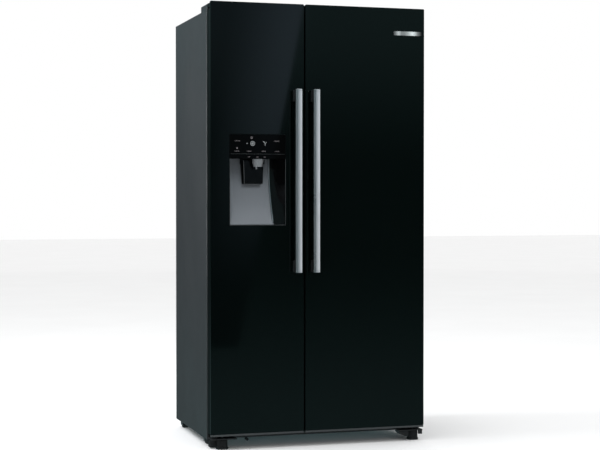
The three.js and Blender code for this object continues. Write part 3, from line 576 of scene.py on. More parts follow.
def scoop():
    """The silver tub: a left wall that turns into the curved back, with a raised rim on the right in brighter
    metal than the tub, a painted highlight on its rounded edge.
    """
    rows = []
    left = NICHE_LEFT + 0.6
    for height in HEIGHTS:
        depth = niche_depth(height)
        corner = min(26, (depth - NICHE_LIP) * 0.8)
        row = [(left, NICHE_LIP)] + arc((left + corner, depth - corner), corner, 180, 90, 8)
        row += [(SPLIT - 30, depth), (SPLIT - 5, depth), (SPLIT - 2.5, depth - 1.2), (SPLIT, depth - 3)]
        rows.append([(x, y, height) for x, y in row])
    piece("dispenser_scoop", SILVER, "freezer_door", [sheet(rows, 1.6)], "dispenser_housing")
    # The rim is a real rounded edge, but its metal is brighter than the silver tub to paint the highlight
    # along it.
    edge = [(SPLIT - 0.6, niche_depth(height) - 4.2, height) for height in HEIGHTS[1:]]
    piece("dispenser_scoop_highlight_rim", ALUMINIUM, "freezer_door", [tube(edge, 2.2)])


def side_wall():
    """The black wall that runs from the scoop's rim out to the right edge of the niche."""
    rows = []
    end = Vector((NICHE_RIGHT + 0.4, NICHE_LIP))
    for height in HEIGHTS:
        start = Vector((SPLIT + 0.8, niche_depth(height) - 1))
        row = []
        for share in [i / 8 for i in range(9)]:
            bulge = math.sin(share * math.pi) * 0.22 * (start.y - end.y)
            x, y = start.lerp(end, share)
            row.append((x, y + bulge, height))
        rows.append(row)
    piece("dispenser_side_wall", BLACK, "freezer_door", [sheet(rows, 1.4)])


def dispenser_trim():
    """A thin frame round the niche, the ceiling above it and the tub's closed back behind."""
    left, right, bottom, top = HOUSING_LOW.x, HOUSING_HIGH.x, HOUSING_LOW.z, HOUSING_HIGH.z
    inner = (left + 2.2, right - 2.2, bottom + 2.6, top - 1.6)
    surround = ring("y", (left, right, bottom, top), inner, FACE - 0.1, FACE + 9, 0.4, 6, (3, 2))
    piece("dispenser_surround", BLACK, "freezer_door", [surround])
    bright = []
    for start, end in ((left + 0.1, left + 2.1), (right - 2.1, right - 0.1)):
        bright.append(block((start, FACE - 0.8, bottom + 2), (end, FACE + 0.1, PANEL_LOW.z - 0.5), 0.3))
    bright.append(block((left + 0.1, FACE - 0.8, bottom + 0.1), (right - 0.1, FACE + 0.1, bottom + 2.5), 0.3))
    piece("dispenser_trim", DARK_TRIM, "freezer_door", bright)
    back = HOUSING_HIGH.y
    ceiling = block((left + 2.5, FACE + 9.2, NICHE_TOP), (right - 2.5, back, NICHE_TOP + 2.5), 0.4)
    closure = block((left + 2.4, back - 2, bottom + 3), (right - 2.4, back, top - 2), 0.4)
    piece("dispenser_ceiling", BLACK, "freezer_door", [ceiling, closure])


def control_panel():
    """A gloss black panel: a fine line near its lower edge and generic touch symbols."""
    low, high = PANEL_LOW, PANEL_HIGH
    panel = prism("y", rounded(*front_of(low, high), 1.5, 3), low.y, high.y, 0.5)
    piece("control_panel_face", PANEL, "freezer_door", [panel], "dispenser_control_panel")
    height = low.z + 18.5
    line = block((low.x + 3, low.y - 0.25, height), (high.x - 3, low.y + 0.3, height + 0.9))
    piece("control_panel_line", DARK_TRIM, "freezer_door", [line])
    panel_symbols()


PRINT_FRONT, PRINT_BACK = PANEL_LOW.y - 0.12, PANEL_LOW.y + 0.1


def stroke(x, z, length, width, turn):
    """One straight stroke of a symbol, as thin print on the panel."""
    half = (length / 2, width / 2)
    flat = block((-half[0], -0.12, -half[1]), (half[0], 0.1, half[1]))
    return moved(flat, (x, PANEL_LOW.y, z), Matrix.Rotation(math.radians(turn), 4, "Y"))


def circle(x, z, radius, width):
    """A printed ring."""
    outer, inner = [(x - r, x + r, z - r, z + r) for r in (radius, radius - width)]
    corners = (radius * 0.999, (radius - width) * 0.999)
    return ring("y", outer, inner, PRINT_FRONT, PRINT_BACK, 0, 6, corners)


def word(x, z, letters, tall):
    """A tiny word-like row of upright and level strokes that spells nothing."""
    strokes = []
    step = tall * 0.95
    for i in range(letters):
        place = x + step * (i - (letters - 1) / 2)
        strokes.append(stroke(place, z, tall * (1.0 if i % 3 else 0.7), tall * 0.26, 90))
        if i % 2:
            strokes.append(stroke(place + tall * 0.2, z + tall * 0.2, tall * 0.5, tall * 0.22, 0))
    return strokes


def panel_symbols():
    """Word-like marks in three rows, with a ringed star and a branching drop between them."""
    left, top = PANEL_LOW.x, PANEL_HIGH.z
    words = []
    for down, letters, tall, places in (
            (25, 6, 4.0, (30, 192)), (66, 5, 4.0, (28, 78, 139, 194)), (89, 3, 3.6, (78, 112, 143))):
        for x in places:
            words += word(left + x, top - down, letters, tall)
    words += [stroke(left + 29, top - 54, 6, 1.6, turn) for turn in (60, -60, 0)]
    words.append(circle(left + 89, top - 12, 4.2, 1.4))
    piece("control_panel_words", DIM_PRINT, "freezer_door", words)
    signs = [circle(left + 70, top - 35, 1.8, 1.6), circle(left + 93, top - 35, 9.5, 1.5)]
    signs += [stroke(left + 93, top - 35, 13, 1.8, turn) for turn in (0, 60, 120)]
    for turn, across, down in ((60, -3.5, 32), (-60, 3.5, 32), (90, 0, 39), (20, -5, 28)):
        signs.append(stroke(left + 145 + across, top - down, 8.5, 1.7, turn))
    piece("control_panel_signs", PRINT, "freezer_door", signs)


def spout():
    """The silver spout with its water tip, and the black backplate behind the paddle."""
    low, high = box("dispenser_nozzle")
    x, y = (low.x + high.x) / 2, (low.y + high.y) / 2
    tall = 31.5
    cup = [(0, 0), (17.4, 0), (18.4, 1.0), (19.6, 9), (21.6, 18), (23.2, 27), (23.4, tall), (0, tall)]
    body = turned(cup, (x, y, high.z - tall))
    piece("dispenser_spout", SPOUT, "freezer_door", [body], "dispenser_nozzle")
    tip = turned([(0, 0), (2.4, 0), (3.2, 1.2), (3.8, 10), (0, 10)], (x - 7, y - 4, low.z))
    piece("dispenser_water_tip", SPOUT, "freezer_door", [tip])
    low, high = box("dispenser_paddle")
    left, right, bottom = low.x - 3, high.x + 1.5, low.z + 2
    front, back = NICHE_BACK - 11.2, NICHE_BACK + 0.5
    outline = [(left, NICHE_TOP), (right, NICHE_TOP), (right - 3, bottom), (left + 6, bottom)]
    parts = [prism("y", outline, front, back, 3, 3)]
    for ear in (low.x - 2.5, high.x + 2.5):
        parts.append(block((ear - 1.8, high.y + 3, high.z - 16), (ear + 1.8, back, NICHE_TOP - 0.4), 0.6))
    piece("dispenser_backplate", BLACK, "freezer_door", parts)


def paddle():
    """The black paddle on two stub pins, with a pale strip on its left and lower edges as a painted highlight
    where those edges catch the light.
    """
    low, high = box("dispenser_paddle")
    middle = (low.x + high.x) / 2
    top, bottom, corner = high.z - 1, low.z, 4
    foot_edge = arc((middle - 34, bottom + corner), corner, 180, 270, 5)
    foot_edge += arc((middle + 34, bottom + corner), corner, 270, 360, 5)
    outline = [(middle - 41, top), (middle - 38, bottom + corner), *foot_edge, (middle + 41, top)]
    span, pin = high.x - low.x, 2.6
    axle = [(0, 0), (pin, 0), (pin, span), (0, span)]
    parts = [prism("y", outline, low.y + 1.2, high.y - 0.4, 1, 3),
             turned(axle, (low.x, (low.y + high.y) / 2, high.z - 5), "x", 16)]
    for height in [bottom + 20 + 9 * i for i in range(3)]:
        parts.append(block((middle - 24, low.y + 0.2, height), (middle + 24, low.y + 1.6, height + 2), 0.5))
    piece("paddle_plate", BLACK, "dispenser_paddle", parts, "dispenser_paddle")
    # Painted highlight: a pale strip on the left and lower edges stands for the light those edges catch.
    rim = []
    corners = [Vector(point) for point in (outline[0], *foot_edge)]
    for start, end in zip(corners, corners[1:]):
        across = (end - start).orthogonal().normalized() * 2
        rim.append(prism("y", [start, end, end + across, start + across], low.y + 0.2, low.y + 1.5))
    piece("paddle_edge_highlight", DARK_TRIM, "dispenser_paddle", rim)


# ---- Cabinet outside ----

def side_skin(name):
    """A folded sheet-metal side: rounded folds at the front and rear edges, a return flange on each."""
    side = SIDES[name]
    low, high = box(f"side_panel_{name}")
    outer = side * max(abs(low.x), abs(high.x))
    fold, thick = 3.2, 1.4
    turns = ((180, 270), (180, 90)) if side < 0 else ((0, -90), (0, 90))
    places = ((outer - side * fold, low.y + fold), (outer - side * fold, high.y - fold))
    front_out, front_in, rear_out, rear_in = [
        arc(place, radius, *turn, 6) for place, turn in zip(places, turns) for radius in (fold, fold - thick)]
    lip, rear_lip = side * 402, outer - side * 20
    outline = [(lip, low.y)] + front_out[::-1] + rear_out + [(rear_lip, high.y), (rear_lip, high.y - thick)]
    outline += rear_in[::-1] + front_in + [(lip, low.y + thick)]
    skin = prism("z", outline, low.z, high.z, 0.2, 1)
    piece(f"side_skin_{name}", ENAMEL, "cabinet", [skin], f"side_panel_{name}")


def hinge_cover(name):
    low, high = box(f"hinge_cover_{name}")
    middle = (low + high) / 2
    parts = [shell(block(low, high), (0, 0, -1), 4.5, 2, 4)]
    for offset in (-38, 38):
        plug = [(0, 0), (6.2, 0), (6.0, 0.5), (0, 0.6)]
        parts.append(turned(plug, (middle.x + offset, middle.y + 26, high.z - 0.2)))
    piece(f"hinge_cover_shell_{name}", ENAMEL, "cabinet", parts, f"hinge_cover_{name}")


def door_foot_trims():
    """A slim painted moulding under the glass of each door."""
    for door, body in DOORS.items():
        low, high = box(f"{door}_door_glass")
        trim = block((low.x + 1, FACE + 0.2, low.z - 8), (high.x - 1, FACE + 10, low.z - 0.1), 1.2, 3)
        piece(f"{door}_foot_trim", TRIM_GREY, body, [trim])


def skid_shoes():
    """A dark moulded skid with two lobes under each side, behind the levelling foot."""
    lobes = [(-246, 41), (-246, 14), (-240, 4), (-222, 4), (-214, 16), (-198, 20), (-190, 10)]
    lobes += [(-160, 10), (-152, 20), (-152, 35), (-239.9, 35), (-239.9, 41)]
    for name, side in SIDES.items():
        inner, outer = sorted((side * 412, side * 444))
        piece(f"skid_shoe_{name}", GRAINED, "cabinet", [prism("x", lobes, inner, outer, 2, 2, 20)])


def hinge_tab():
    """The folded tab and the rounded lug under the right-hand lower hinge."""
    tab = block((433, -299.5, 26), (449.5, -290, 41.6), 1)
    lug = [(346, 41.6), (349, 36), (362, 24), (378, 18), (392, 18), (394, 41.6)]
    piece("hinge_tab_right", GRAINED, "cabinet", [tab, prism("y", lug, -290, -248, 2, 2, 20)])


def hinge_bolts():
    bolts = []
    for side in SIDES.values():
        for x, y in ((425, -170), (362, -170), (425, -212), (362, -212)):
            bolts.append(screw((side * x, y, SIDE_HIGH.z + 4.3), 5))
        for x in (356, 374):
            bolts.append(screw((side * x, SIDE_LOW.y - 3.3, 53), 4.5, "y", -1))
    piece("hinge_bolts", ZINC, "cabinet", bolts)


def rear_panel():
    """The back sheet with pressed stiffening ribs and a row of screws round it."""
    low, high = box("back_panel")
    tall = high.z - low.z
    parts = [block(low, (high.x, high.y - 0.6, high.z), 0.3)]
    for height in [low.z + tall * i / 6 for i in range(1, 6)]:
        rib = rounded(low.x + 60, high.x - 60, height - 15, height + 15, 14.9, 8)
        parts.append(prism("y", rib, high.y - 1, high.y, 0.4))
    piece("rear_sheet", ZINC, "cabinet", parts, "back_panel")
    screws = []
    for z in [low.z + 25 + (tall - 50) * i / 6 for i in range(7)]:
        screws += [screw((x, high.y - 2.2, z), 3.2, "y", 1, 14) for x in (low.x + 12, high.x - 12)]
    piece("rear_screws", ZINC, "cabinet", screws)


def cabinet_outside():
    for name in SIDES:
        side_skin(name)
        hinge_cover(name)
        dress(f"upper_hinge_{name}", ZINC, 0.5)
        dress(f"lower_hinge_{name}", GRAINED, 0.6)
    hinge_bolts()
    door_foot_trims()
    skid_shoes()
    hinge_tab()
    rear_panel()
    for node in ("top_panel", "front_base_rail", "centre_mullion"):
        dress(node, ENAMEL, 0.4)
    for node in ("base_pan", "machine_compartment_cover"):
        dress(node, ZINC, 0.4)
    dress("power_inlet", GRAINED, 0.6)
    dress("insulation_foam", FOAM)
    for door in DOORS:
        dress(f"{door}_door_shell", DARK_ENAMEL, 0.7)


# ---- Feet, rollers and the water coupling ----

def foot(side):
    """A levelling foot: a smooth base disc, a ribbed grip column and a threaded stud."""
    low, high = box(f"levelling_foot_{side}")
    centre = ((low.x + high.x) / 2, (low.y + high.y) / 2, low.z)
    base = [(0, 0), (22.6, 0), (24.0, 0.6), (24.5, 2.0), (24.5, 6.2), (23.6, 7.6), (20.4, 9.0), (0, 9.0)]
    ribs = 30
    column = []
    for i in range(ribs):
        for share, radius in ((0.0, 20.4), (0.25, 21.5), (0.6, 21.5), (0.85, 20.4)):
            turn = 2 * math.pi * (i + share) / ribs
            column.append((centre[0] + radius * math.cos(turn), centre[1] + radius * math.sin(turn)))
    collar = [(0, 36.3), (19.5, 36.3), (20.2, 36.8), (19.0, 38.0), (0, 38.0)]
    parts = [turned(base, centre, sides=48), prism("z", column, low.z + 8.8, low.z + 36.5),
             turned(collar, centre, sides=48)]
    piece(f"foot_body_{side}", GRAINED, f"foot_{side}", parts, f"levelling_foot_{side}")
    thread = [(0, 37.8)]
    for height in [38.4 + 2.1 * i for i in range(9)]:
        thread += [(4.3, height), (5.0, height + 1)]
    thread += [(4.2, 57.6), (3.4, 58.0), (0, 58.0)]
    piece(f"foot_stud_{side}", ZINC, f"foot_{side}", [turned(thread, centre, sides=24)])


def roller(place, side):
    """A roller with a crowned tread, a dished hub and its axle stubs."""
    low, high = box(f"roller_{place}_{side}")
    middle = (low + high) / 2
    radius = (high.z - low.z) / 2
    half, dish = 12, 10
    near = [(0, -half), (0.38 * radius, -half), (0.42 * radius, -dish), (0.8 * radius, -dish),
            (0.84 * radius, -half), (radius - 1.2, -half), (radius, -dish)]
    tread = near + [(r, -height) for r, height in near[::-1]]
    body = f"{place}_roller_{side}"
    wheel = turned(tread, middle, "x", 48)
    piece(f"wheel_{place}_{side}", GRAINED, body, [wheel], f"roller_{place}_{side}")
    reach = (high.x - low.x) / 2
    inner = half - 0.1
    axle = [(0, -reach), (3.2, -reach), (3.9, -reach + 0.8), (3.9, -inner), (0, -inner)]
    stubs = [turned([(r, height * end) for r, height in axle], middle, "x", 20) for end in (1, -1)]
    piece(f"axle_{place}_{side}", ZINC, body, stubs)


def coupling():
    """The water line's coupling under the front rail: a ringed collar and a plug."""
    low, high = box("water_line_coupling")
    middle = (low + high) / 2
    long = high.y - low.y
    rings = [(0, 0), (3.6, 0), (4.0, 0.5), (4.0, 4), (5.9, 4.6), (5.9, 9)]
    for depth in (9.4, 11.4, 13.4, 15.4):
        rings += [(5.2, depth), (5.9, depth + 1)]
    rings += [(5.9, long - 4), (4.4, long - 3.4), (4.4, long), (0, long)]
    body = turned(rings, (middle.x, low.y, middle.z), "y", 28)
    piece("water_coupling", GRAINED, "cabinet", [body], "water_line_coupling")


def running_gear():
    for side in SIDES:
        foot(side)
        for place in ("front", "rear"):
            roller(place, side)
    coupling()


# ---- Liners and ducts ----

SHELF_LEVELS = {
    "freezer": (625.5, 780, 935, 1090, 1275.5, 1430),
    "fridge": (570.5, 700, 830, 995.5, 1120, 1245, 1365.5, 1500),
}


def liner(bay, ledge):
    """A vacuum-formed tub: stepped floor, round corners, a front lip, shelf lugs and drawer runners."""
    low, high = box(f"{bay}_liner")
    step = 225
    outline = [(low.y, low.z), (120, low.z), (150, step), (high.y, step), (high.y, high.z), (low.y, high.z)]
    parts = [shell(prism("x", outline, low.x, high.x), (0, -1, 0), 16, 2, 5)]
    for side, face in ((-1, low.x), (1, high.x)):
        wall = face - side * 1.5
        start, end = sorted((wall, wall - side * 9.5))
        parts.append(block((start, -148, ledge - 4), (end, 140, ledge), 1.2))
        start, end = sorted((wall, wall - side * 7))
        for level in SHELF_LEVELS[bay]:
            parts.append(block((start, -110, level - 10), (end, 200, level), 2.5, 3))
    piece(f"{bay}_liner_tub", WHITE, "cabinet", parts, f"{bay}_liner")


def grille(bay, heights):
    """Frames and slats round the duct's outlets."""
    low, high = box(f"{bay}_air_duct")
    middle, front = (low.x + high.x) / 2, low.y
    parts = []
    for height in heights:
        outer = (middle - 68, middle + 68, height - 8, height + 18)
        inner = (middle - 60, middle + 60, height, height + 10)
        parts.append(ring("y", outer, inner, front - 3, front + 1, 0.8, 5, (6, 2)))
        for x in [middle + 11 * i for i in range(-5, 6)]:
            parts.append(block((x - 0.9, front - 2, height - 1), (x + 0.9, front + 3, height + 11)))
    piece(f"{bay}_duct_grilles", SILVER, "cabinet", parts)


def lamp(bay, middle):
    """A flat lamp in the ceiling of a compartment: a frame with a glowing ribbed lens."""
    top = box(f"{bay}_liner")[1].z - 2.2
    outer, inner = (middle - 80, middle + 80, -40, 30), (middle - 74, middle + 74, -34, 24)
    rim = ring("z", outer, inner, top - 6, top + 0.5, 1, 5, (10, 6))
    piece(f"{bay}_lamp_frame", WHITE, "cabinet", [rim])
    lens = [block((middle - 74.2, -34.2, top - 4), (middle + 74.2, 24.2, top), 0.5)]
    for x in [middle + (i - 6.5) * 10 for i in range(14)]:
        lens.append(block((x - 2, -32, top - 4.8), (x + 2, 22, top - 3.5), 0.6))
    piece(f"{bay}_lamp_lens", LAMP, "cabinet", lens)


def compartments():
    liner("freezer", 257)
    liner("fridge", 307)
    for bay, heights in (("freezer", (500, 900, 1210)), ("fridge", (620, 900, 1180, 1460))):
        dress(f"{bay}_air_duct", WHITE, 1.2, 3)
        grille(bay, heights)
    dress("evaporator", ZINC, 0.4)
    lamp("freezer", -246)
    lamp("fridge", 183)


# ---- Shelves and drawers ----

def shelf(name):
    """Toughened glass in a slim carrier: a satin front bar, white side rails and a raised rear stop."""
    low, high = box(name)
    plate = block((low.x + 2, low.y + 5, high.z - 4.6), (high.x - 2, high.y - 3, high.z - 0.6), 0.8)
    piece(f"{name}_glass", SHELF, "cabinet", [plate], name)
    bar = prism("x", rounded(low.y, low.y + 8, low.z, high.z, 3.2, 5), low.x, high.x, 0.4, 1)
    piece(f"{name}_front_bar", ALUMINIUM, "cabinet", [bar])
    rails = [block((start, low.y + 7, high.z - 6.5), (start + 9, high.y, high.z + 0.2), 0.8)
             for start in (low.x, high.x - 9)]
    rails.append(block((low.x, high.y - 7, high.z - 5), (high.x, high.y, high.z + 7), 1.2))
    piece(f"{name}_rails", WHITE, "cabinet", rails)


def drawer(name):
    """A clear tub with ribbed sides, a thick front and a finger slot with a lip behind it."""
    low, high = box(name)
    face = low.y + 6
    tub = block((low.x, face - 1.5, low.z), (high.x, high.y, high.z - 6))
    middle = (low.x + high.x) / 2
    slot = (middle - 55, middle + 55, high.z - 34, high.z - 14)
    front = ring("y", front_of(low, high), slot, low.y, face, 1.2, 6, (7, 9), 3)
    parts = [shell(tub, (0, 0, 1), 9, 2.4, 4), front]
    for x in (low.x + 3.5, high.x - 3.5):
        for y in [face + (high.y - face) * i / 6 for i in range(1, 6)]:
            parts.append(block((x - 1.4, y - 3, low.z + 12), (x + 1.4, y + 3, high.z - 14), 1))
    piece(f"{name}_tub", CLEAR, name, parts, name)
    rail = block((low.x + 1, low.y + 0.2, high.z - 7), (high.x - 1, low.y + 7.5, high.z - 0.2), 1.5, 3)
    outer = (slot[0] - 4, slot[1] + 4, slot[2] - 4, slot[3] + 3.5)
    lip = ring("y", outer, slot, low.y + 0.1, face + 2, 0.8, 6, (11, 9))
    piece(f"{name}_trim", SILVER, name, [rail, lip])


def shelves_and_drawers():
    for bay in DOORS:
        shelf(f"{bay}_shelf_upper")
        shelf(f"{bay}_shelf_lower")
    shelf("crisper_cover_shelf")
    for kind in ("freezer", "crisper"):
        drawer(f"{kind}_drawer_lower")
        drawer(f"{kind}_drawer_upper")


# ---- Ice maker and its bucket ----

def ice_bucket():
    """A clear tub with a grip on its front, filled with loose ice cubes."""
    low, high = box("ice_bucket")
    tub = shell(block(low, high), (0, 0, 1), 12, 2.6, 4)
    piece("ice_bucket_tub", CLEAR, "ice_bucket", [tub], "ice_bucket")
    outline = rounded(low.x + 30, high.x - 30, high.z - 40, high.z - 2, 8)
    grip = prism("y", outline, low.y + 0.2, low.y + 4, 1)
    piece("ice_bucket_grip", SILVER, "ice_bucket", [grip])
    cubes = []
    rng = random.Random(7)
    for layer, column, row in itertools.product(range(3), range(8), range(5)):
        x = low.x + 24 + column * 31 + rng.uniform(-5, 5)
        y = low.y + 82 + row * 50 + rng.uniform(-9, 9)
        z = low.z + 16 + layer * 19 + rng.uniform(-2, 2)
        turn = Matrix.Rotation(rng.uniform(0, math.pi), 4, "Z")
        lean = Matrix.Rotation(rng.uniform(-0.4, 0.4), 4, "X")
        cubes.append(moved(block((-10, -10, -8), (10, 10, 8), 3), (x, y, z), turn @ lean))
    piece("ice_cubes", ICE, "ice_bucket", cubes)


def ice_maker():
    dress("ice_maker", WHITE, 1.2, 3)
    low, high = box("ice_maker")
    path = [(12, 6, 30), (12, -12, 26), (150, -12, 26), (178, -6, 30), (178, 4, 32)]
    arm = tube([low + Vector(point) for point in path], 1.6)
    bolt = screw((high.x - 30, low.y - 0.6, high.z - 16), 3, "y", -1, 14)
    piece("ice_maker_feeler_arm", ZINC, "cabinet", [arm, bolt])


# ---- Door insides ----

BIN_LEVELS = {"freezer": (640, 760, 1310, 1420, 1530), "fridge": (640, 800, 960, 1120, 1275)}
FRAME_SPANS = {"freezer": (-365, -127), "fridge": (1, 365)}
FRAME_BAR = 18


def inner_door(door):
    """The moulded inner door: a panel, a raised frame with bin lugs and round corners.

    The freezer's has a hump that covers the dispenser and parts the frame in two.
    """
    low, high = box(f"{door}_door_liner")
    back = -247.5
    left, right = FRAME_SPANS[door]
    spans = [(600, 1665)]
    if door == "freezer":
        pocket = (-383, -131, 870, 1290)
        panel = ring("y", front_of(low, high), pocket, low.y, back, 0.4, 5, (9, 3))
        hump = shell(block((-385, back - 1, 868), (-129, -192, 1292)), (0, -1, 0), 9, 1.8, 5)
        parts = [panel, hump]
        spans = [(600, 868.5), (1291.5, 1665)]
    else:
        parts = [prism("y", rounded(*front_of(low, high), 9), low.y, back, 0.8)]
    for bottom, top in spans:
        inner = (left + FRAME_BAR, right - FRAME_BAR, bottom + FRAME_BAR, top - FRAME_BAR)
        parts.append(ring("y", (left, right, bottom, top), inner, low.y + 0.5, high.y, 5, 7, (22, 12), 4))
    for level in BIN_LEVELS[door]:
        for x, side in ((left + FRAME_BAR, 1), (right - FRAME_BAR, -1)):
            near, far = sorted((x - side, x + side * 3.5))
            parts.append(block((near, back - 1, level + 30), (far, high.y - 14, level + 62), 1.6, 3))
    piece(f"{door}_inner_door", WHITE, DOORS[door], parts, f"{door}_door_liner")


def gasket(door):
    """A magnetic seal: a foot in the liner's groove, a thin neck and a soft hollow bead."""
    low, high = box(f"{door}_door_gasket")
    width = 17
    deep = high.y - low.y
    parts = []
    for inset, near, far, radius in ((0, 0.0, 0.28, 0.8), (2.6, 0.25, 0.55, 0.8), (0.6, 0.52, 1.0, 1.4)):
        outer, inner = [front_of(low, high, edge) for edge in (inset, width - inset)]
        parts.append(ring("y", outer, inner, low.y + deep * near, low.y + deep * far, radius, 5, (8, 3), 3))
    piece(f"{door}_seal", SEAL, DOORS[door], parts, f"{door}_door_gasket")


def door_bin(name, body, low, high, *replaced):
    """A clear bin with a bright guard strip along its front."""
    tub = shell(block(low, high), (0, 0, 1), 11, 2.4, 4)
    piece(f"{name}_tub", CLEAR, body, [tub], *replaced)
    height = high[2] - 26
    outline = rounded(high[1] - 2.5, high[1], height, height + 16, 1.2, 3)
    guard = prism("x", outline, low[0] + 12, high[0] - 12, 0.5)
    piece(f"{name}_guard", ALUMINIUM, body, [guard])


def door_bins():
    for door, tall, levels in (("freezer", 85, (1475,)), ("fridge", 100, (850, 1060, 1270))):
        low, high = box(f"{door}_door_bin")
        door_bin(f"{door}_bin_1", DOORS[door], low, high, f"{door}_door_bin")
        for count, level in enumerate(levels, 2):
            corners = (low.x, low.y, level), (high.x, high.y, level + tall)
            door_bin(f"{door}_bin_{count}", DOORS[door], *corners)


def door_insides():
    for door in DOORS:
        inner_door(door)
        gasket(door)
    door_bins()
    dress("dairy_box", CLEAR, 1.2, 3)
    dress("dairy_lid", CLEAR, 1.4, 3)
    low, high = box("dairy_lid")
    middle = (low.x + high.x) / 2
    outline = rounded(middle - 45, middle + 45, low.z + 4, low.z + 13, 3)
    grip = prism("y", outline, high.y - 4.8, high.y - 0.3, 0.8)
    piece("dairy_lid_grip", ALUMINIUM, "dairy_lid", [grip])


# ---- Machine compartment ----

def compressor():
    """A domed steel shell with a welded seam, on a plate with four rubber mounts."""
    low, high = box("compressor")
    x, y = (low.x + high.x) / 2, (low.y + high.y) / 2
    dome = [(0, 3), (38, 3), (39, 10), (60, 16), (72, 28), (77, 44), (77.6, 62), (80, 63), (80, 68)]
    dome += [(77.6, 69), (77, 92), (72, 110), (60, 124), (38, 133), (14, 136.8), (0, 137.4)]
    piece("compressor_shell", BLACK, "cabinet", [turned(dome, (x, y, low.z), "z", 56)], "compressor")
    outline = rounded(low.x, high.x, low.y + 18, high.y - 18, 12)
    parts = [prism("z", outline, low.z + 4, low.z + 8, 0.6)]
    mount = [(0, 0), (9, 0), (9, 4), (6.5, 5), (6.5, 9), (8, 10), (0, 11)]
    for across, along in itertools.product((-78, 78), (-47, 47)):
        parts.append(turned(mount, (x + across, y + along, low.z), "z", 20))
    piece("compressor_mounting", GRAINED, "cabinet", parts)


def machine_pipes():
    """Refrigerant lines between the compressor, the condenser and the rear wall, and the drier."""
    runs = [
        [(255, 305, 110), (255, 325, 110), (200, 330, 150), (50, 330, 150), (50, 270, 130), (12, 270, 130)],
        [(300, 190, 120), (330, 170, 140), (360, 170, 170), (380, 250, 185), (380, 320, 185)],
        [(-172, 190, 140), (-210, 170, 150), (-250, 200, 170), (-250, 310, 185)],
    ]
    drier = turned([(0, 0), (5, 3), (9, 9), (9, 60), (5, 66), (0, 69)], (-250, 310, 105), "z", 24)
    piece("refrigerant_pipes", COPPER, "cabinet", [tube(run, 3.2) for run in runs] + [drier])


def fan_blade(turn, centre):
    """One swept, twisted and cambered blade."""
    part = bmesh.new()
    rows = []
    for share in [k / 6 for k in range(7)]:
        radius = 15 + 41 * share
        twist = math.radians(46 - 20 * share)
        half = 10 + 7 * math.sin(math.pi * (share * 6 + 1.5) / 9)
        row = []
        for along in (-1, -0.5, 0, 0.5, 1):
            x = along * half * math.cos(twist) * 0.72 + 2.2 * (1 - along * along)
            row.append(part.verts.new(Vector((x, along * half * math.sin(twist), radius)) * MM))
        rows.append(row)
    for near, far in zip(rows, rows[1:]):
        bridge(part, near, far, False)
    bmesh.ops.solidify(part, geom=part.faces[:], thickness=1.4 * MM)
    return moved(part, centre, Matrix.Rotation(turn, 4, "X"))


def condenser_fan():
    """The fan: a domed hub with five blades, in a square shroud on two feet."""
    low, high = box("condenser_fan")
    centre = Vector((90, 235, 118))
    hub = [(0, -14), (15, -14), (18, -10), (18, 10), (14, 13.4), (0, 14)]
    parts = [turned(hub, centre, "x", 36)]
    parts += [fan_blade(2 * math.pi * i / 5, centre) for i in range(5)]
    piece("fan_impeller", GRAINED, "condenser_fan", parts, "condenser_fan")
    middle = (low.y + high.y) / 2
    reach = 61.5
    inner = (centre.y - reach, centre.y + reach, centre.z - reach, centre.z + reach)
    outer = (middle - 66, middle + 66, 53, 183)
    parts = [ring("x", outer, inner, centre.x - 5, centre.x + 5, 1, 10, (8, 61.2))]
    for y in (centre.y - 50, centre.y + 50):
        parts.append(block((centre.x - 4, y - 6, 41.8), (centre.x + 4, y + 6, 56), 1))
    piece("fan_shroud", GRAINED, "cabinet", parts)


def machine_compartment():
    compressor()
    condenser_fan()
    dress("condenser", ZINC, 0.6)
    machine_pipes()


# ---- Floor, light and camera, in metres ----

COOL_WHITE = (0.95, 0.975, 1.0)


def staged(name, shape, material):
    thing = new_object(name, shape, material)
    thing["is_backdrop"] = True
    return thing


def plain_floor():
    pale = finish(
        "pale_floor", None, (noise(1.5), (0.90, 0.90, 0.90), (0.92, 0.92, 0.92)),
        None, (noise(300.0), 0.0002, 0.05), Roughness=0.9, Specular_IOR_Level=0.1)
    shape = bmesh.new()
    bmesh.ops.create_grid(shape, x_segments=1, y_segments=1, size=30)
    staged("floor", shape, pale).visible_glossy = False


def pale_world():
    world = bpy.data.worlds.new("studio")
    world.use_nodes = True
    shader = world.node_tree.nodes["Background"]
    shader.inputs["Color"].default_value = (1.0, 1.0, 1.0, 1)
    shader.inputs["Strength"].default_value = 1.0
    bpy.context.scene.world = world


class Glow(Nodes):
    """An emission material whose strength changes with place, for something seen only in reflections."""

    def __init__(self, name, colour):
        super().__init__(name)
        self.colour = (*colour, 1)
        self.tree.nodes.remove(self.tree.nodes["Principled BSDF"])

    def along(self, direction, start, end, low, high):
        """A value that runs from low to high as the place moves along a direction."""
        place = self.node("VectorMath", "Value", [self.place, direction], operation="DOT_PRODUCT")
        spans = [place, start, end, low, high]
        return self.node("MapRange", "Result", spans, interpolation_type="SMOOTHSTEP")

    def mix(self, first, second, operation):
        return self.node("Math", "Value", [first, second], operation=operation)

    def stage(self, name, shape, strength):
        glow = self.node("Emission", "Emission", {"Color": self.colour, "Strength": strength})
        self.tree.links.new(glow, self.tree.nodes["Material Output"].inputs["Surface"])
        thing = staged(name, shape, self.material)
        for ray in ("camera", "diffuse", "transmission", "shadow", "volume_scatter"):
            setattr(thing, f"visible_{ray}", False)


UP = (0, 0, 1)


def dark_studio_walls():
    """A dim shell: darkest at eye level, a little lighter above and below."""
    wall = Glow("dim_wall", (0.60, 0.96, 1.0))
    above = wall.along(UP, 1.3, 3.6, 0.02, 0.17)
    below = wall.along(UP, -2.4, 0.4, 0.16, 0.02)
    shape = bmesh.new()
    bmesh.ops.create_uvsphere(shape, u_segments=48, v_segments=24, radius=14)
    wall.stage("studio_walls", shape, wall.mix(above, below, "ADD"))


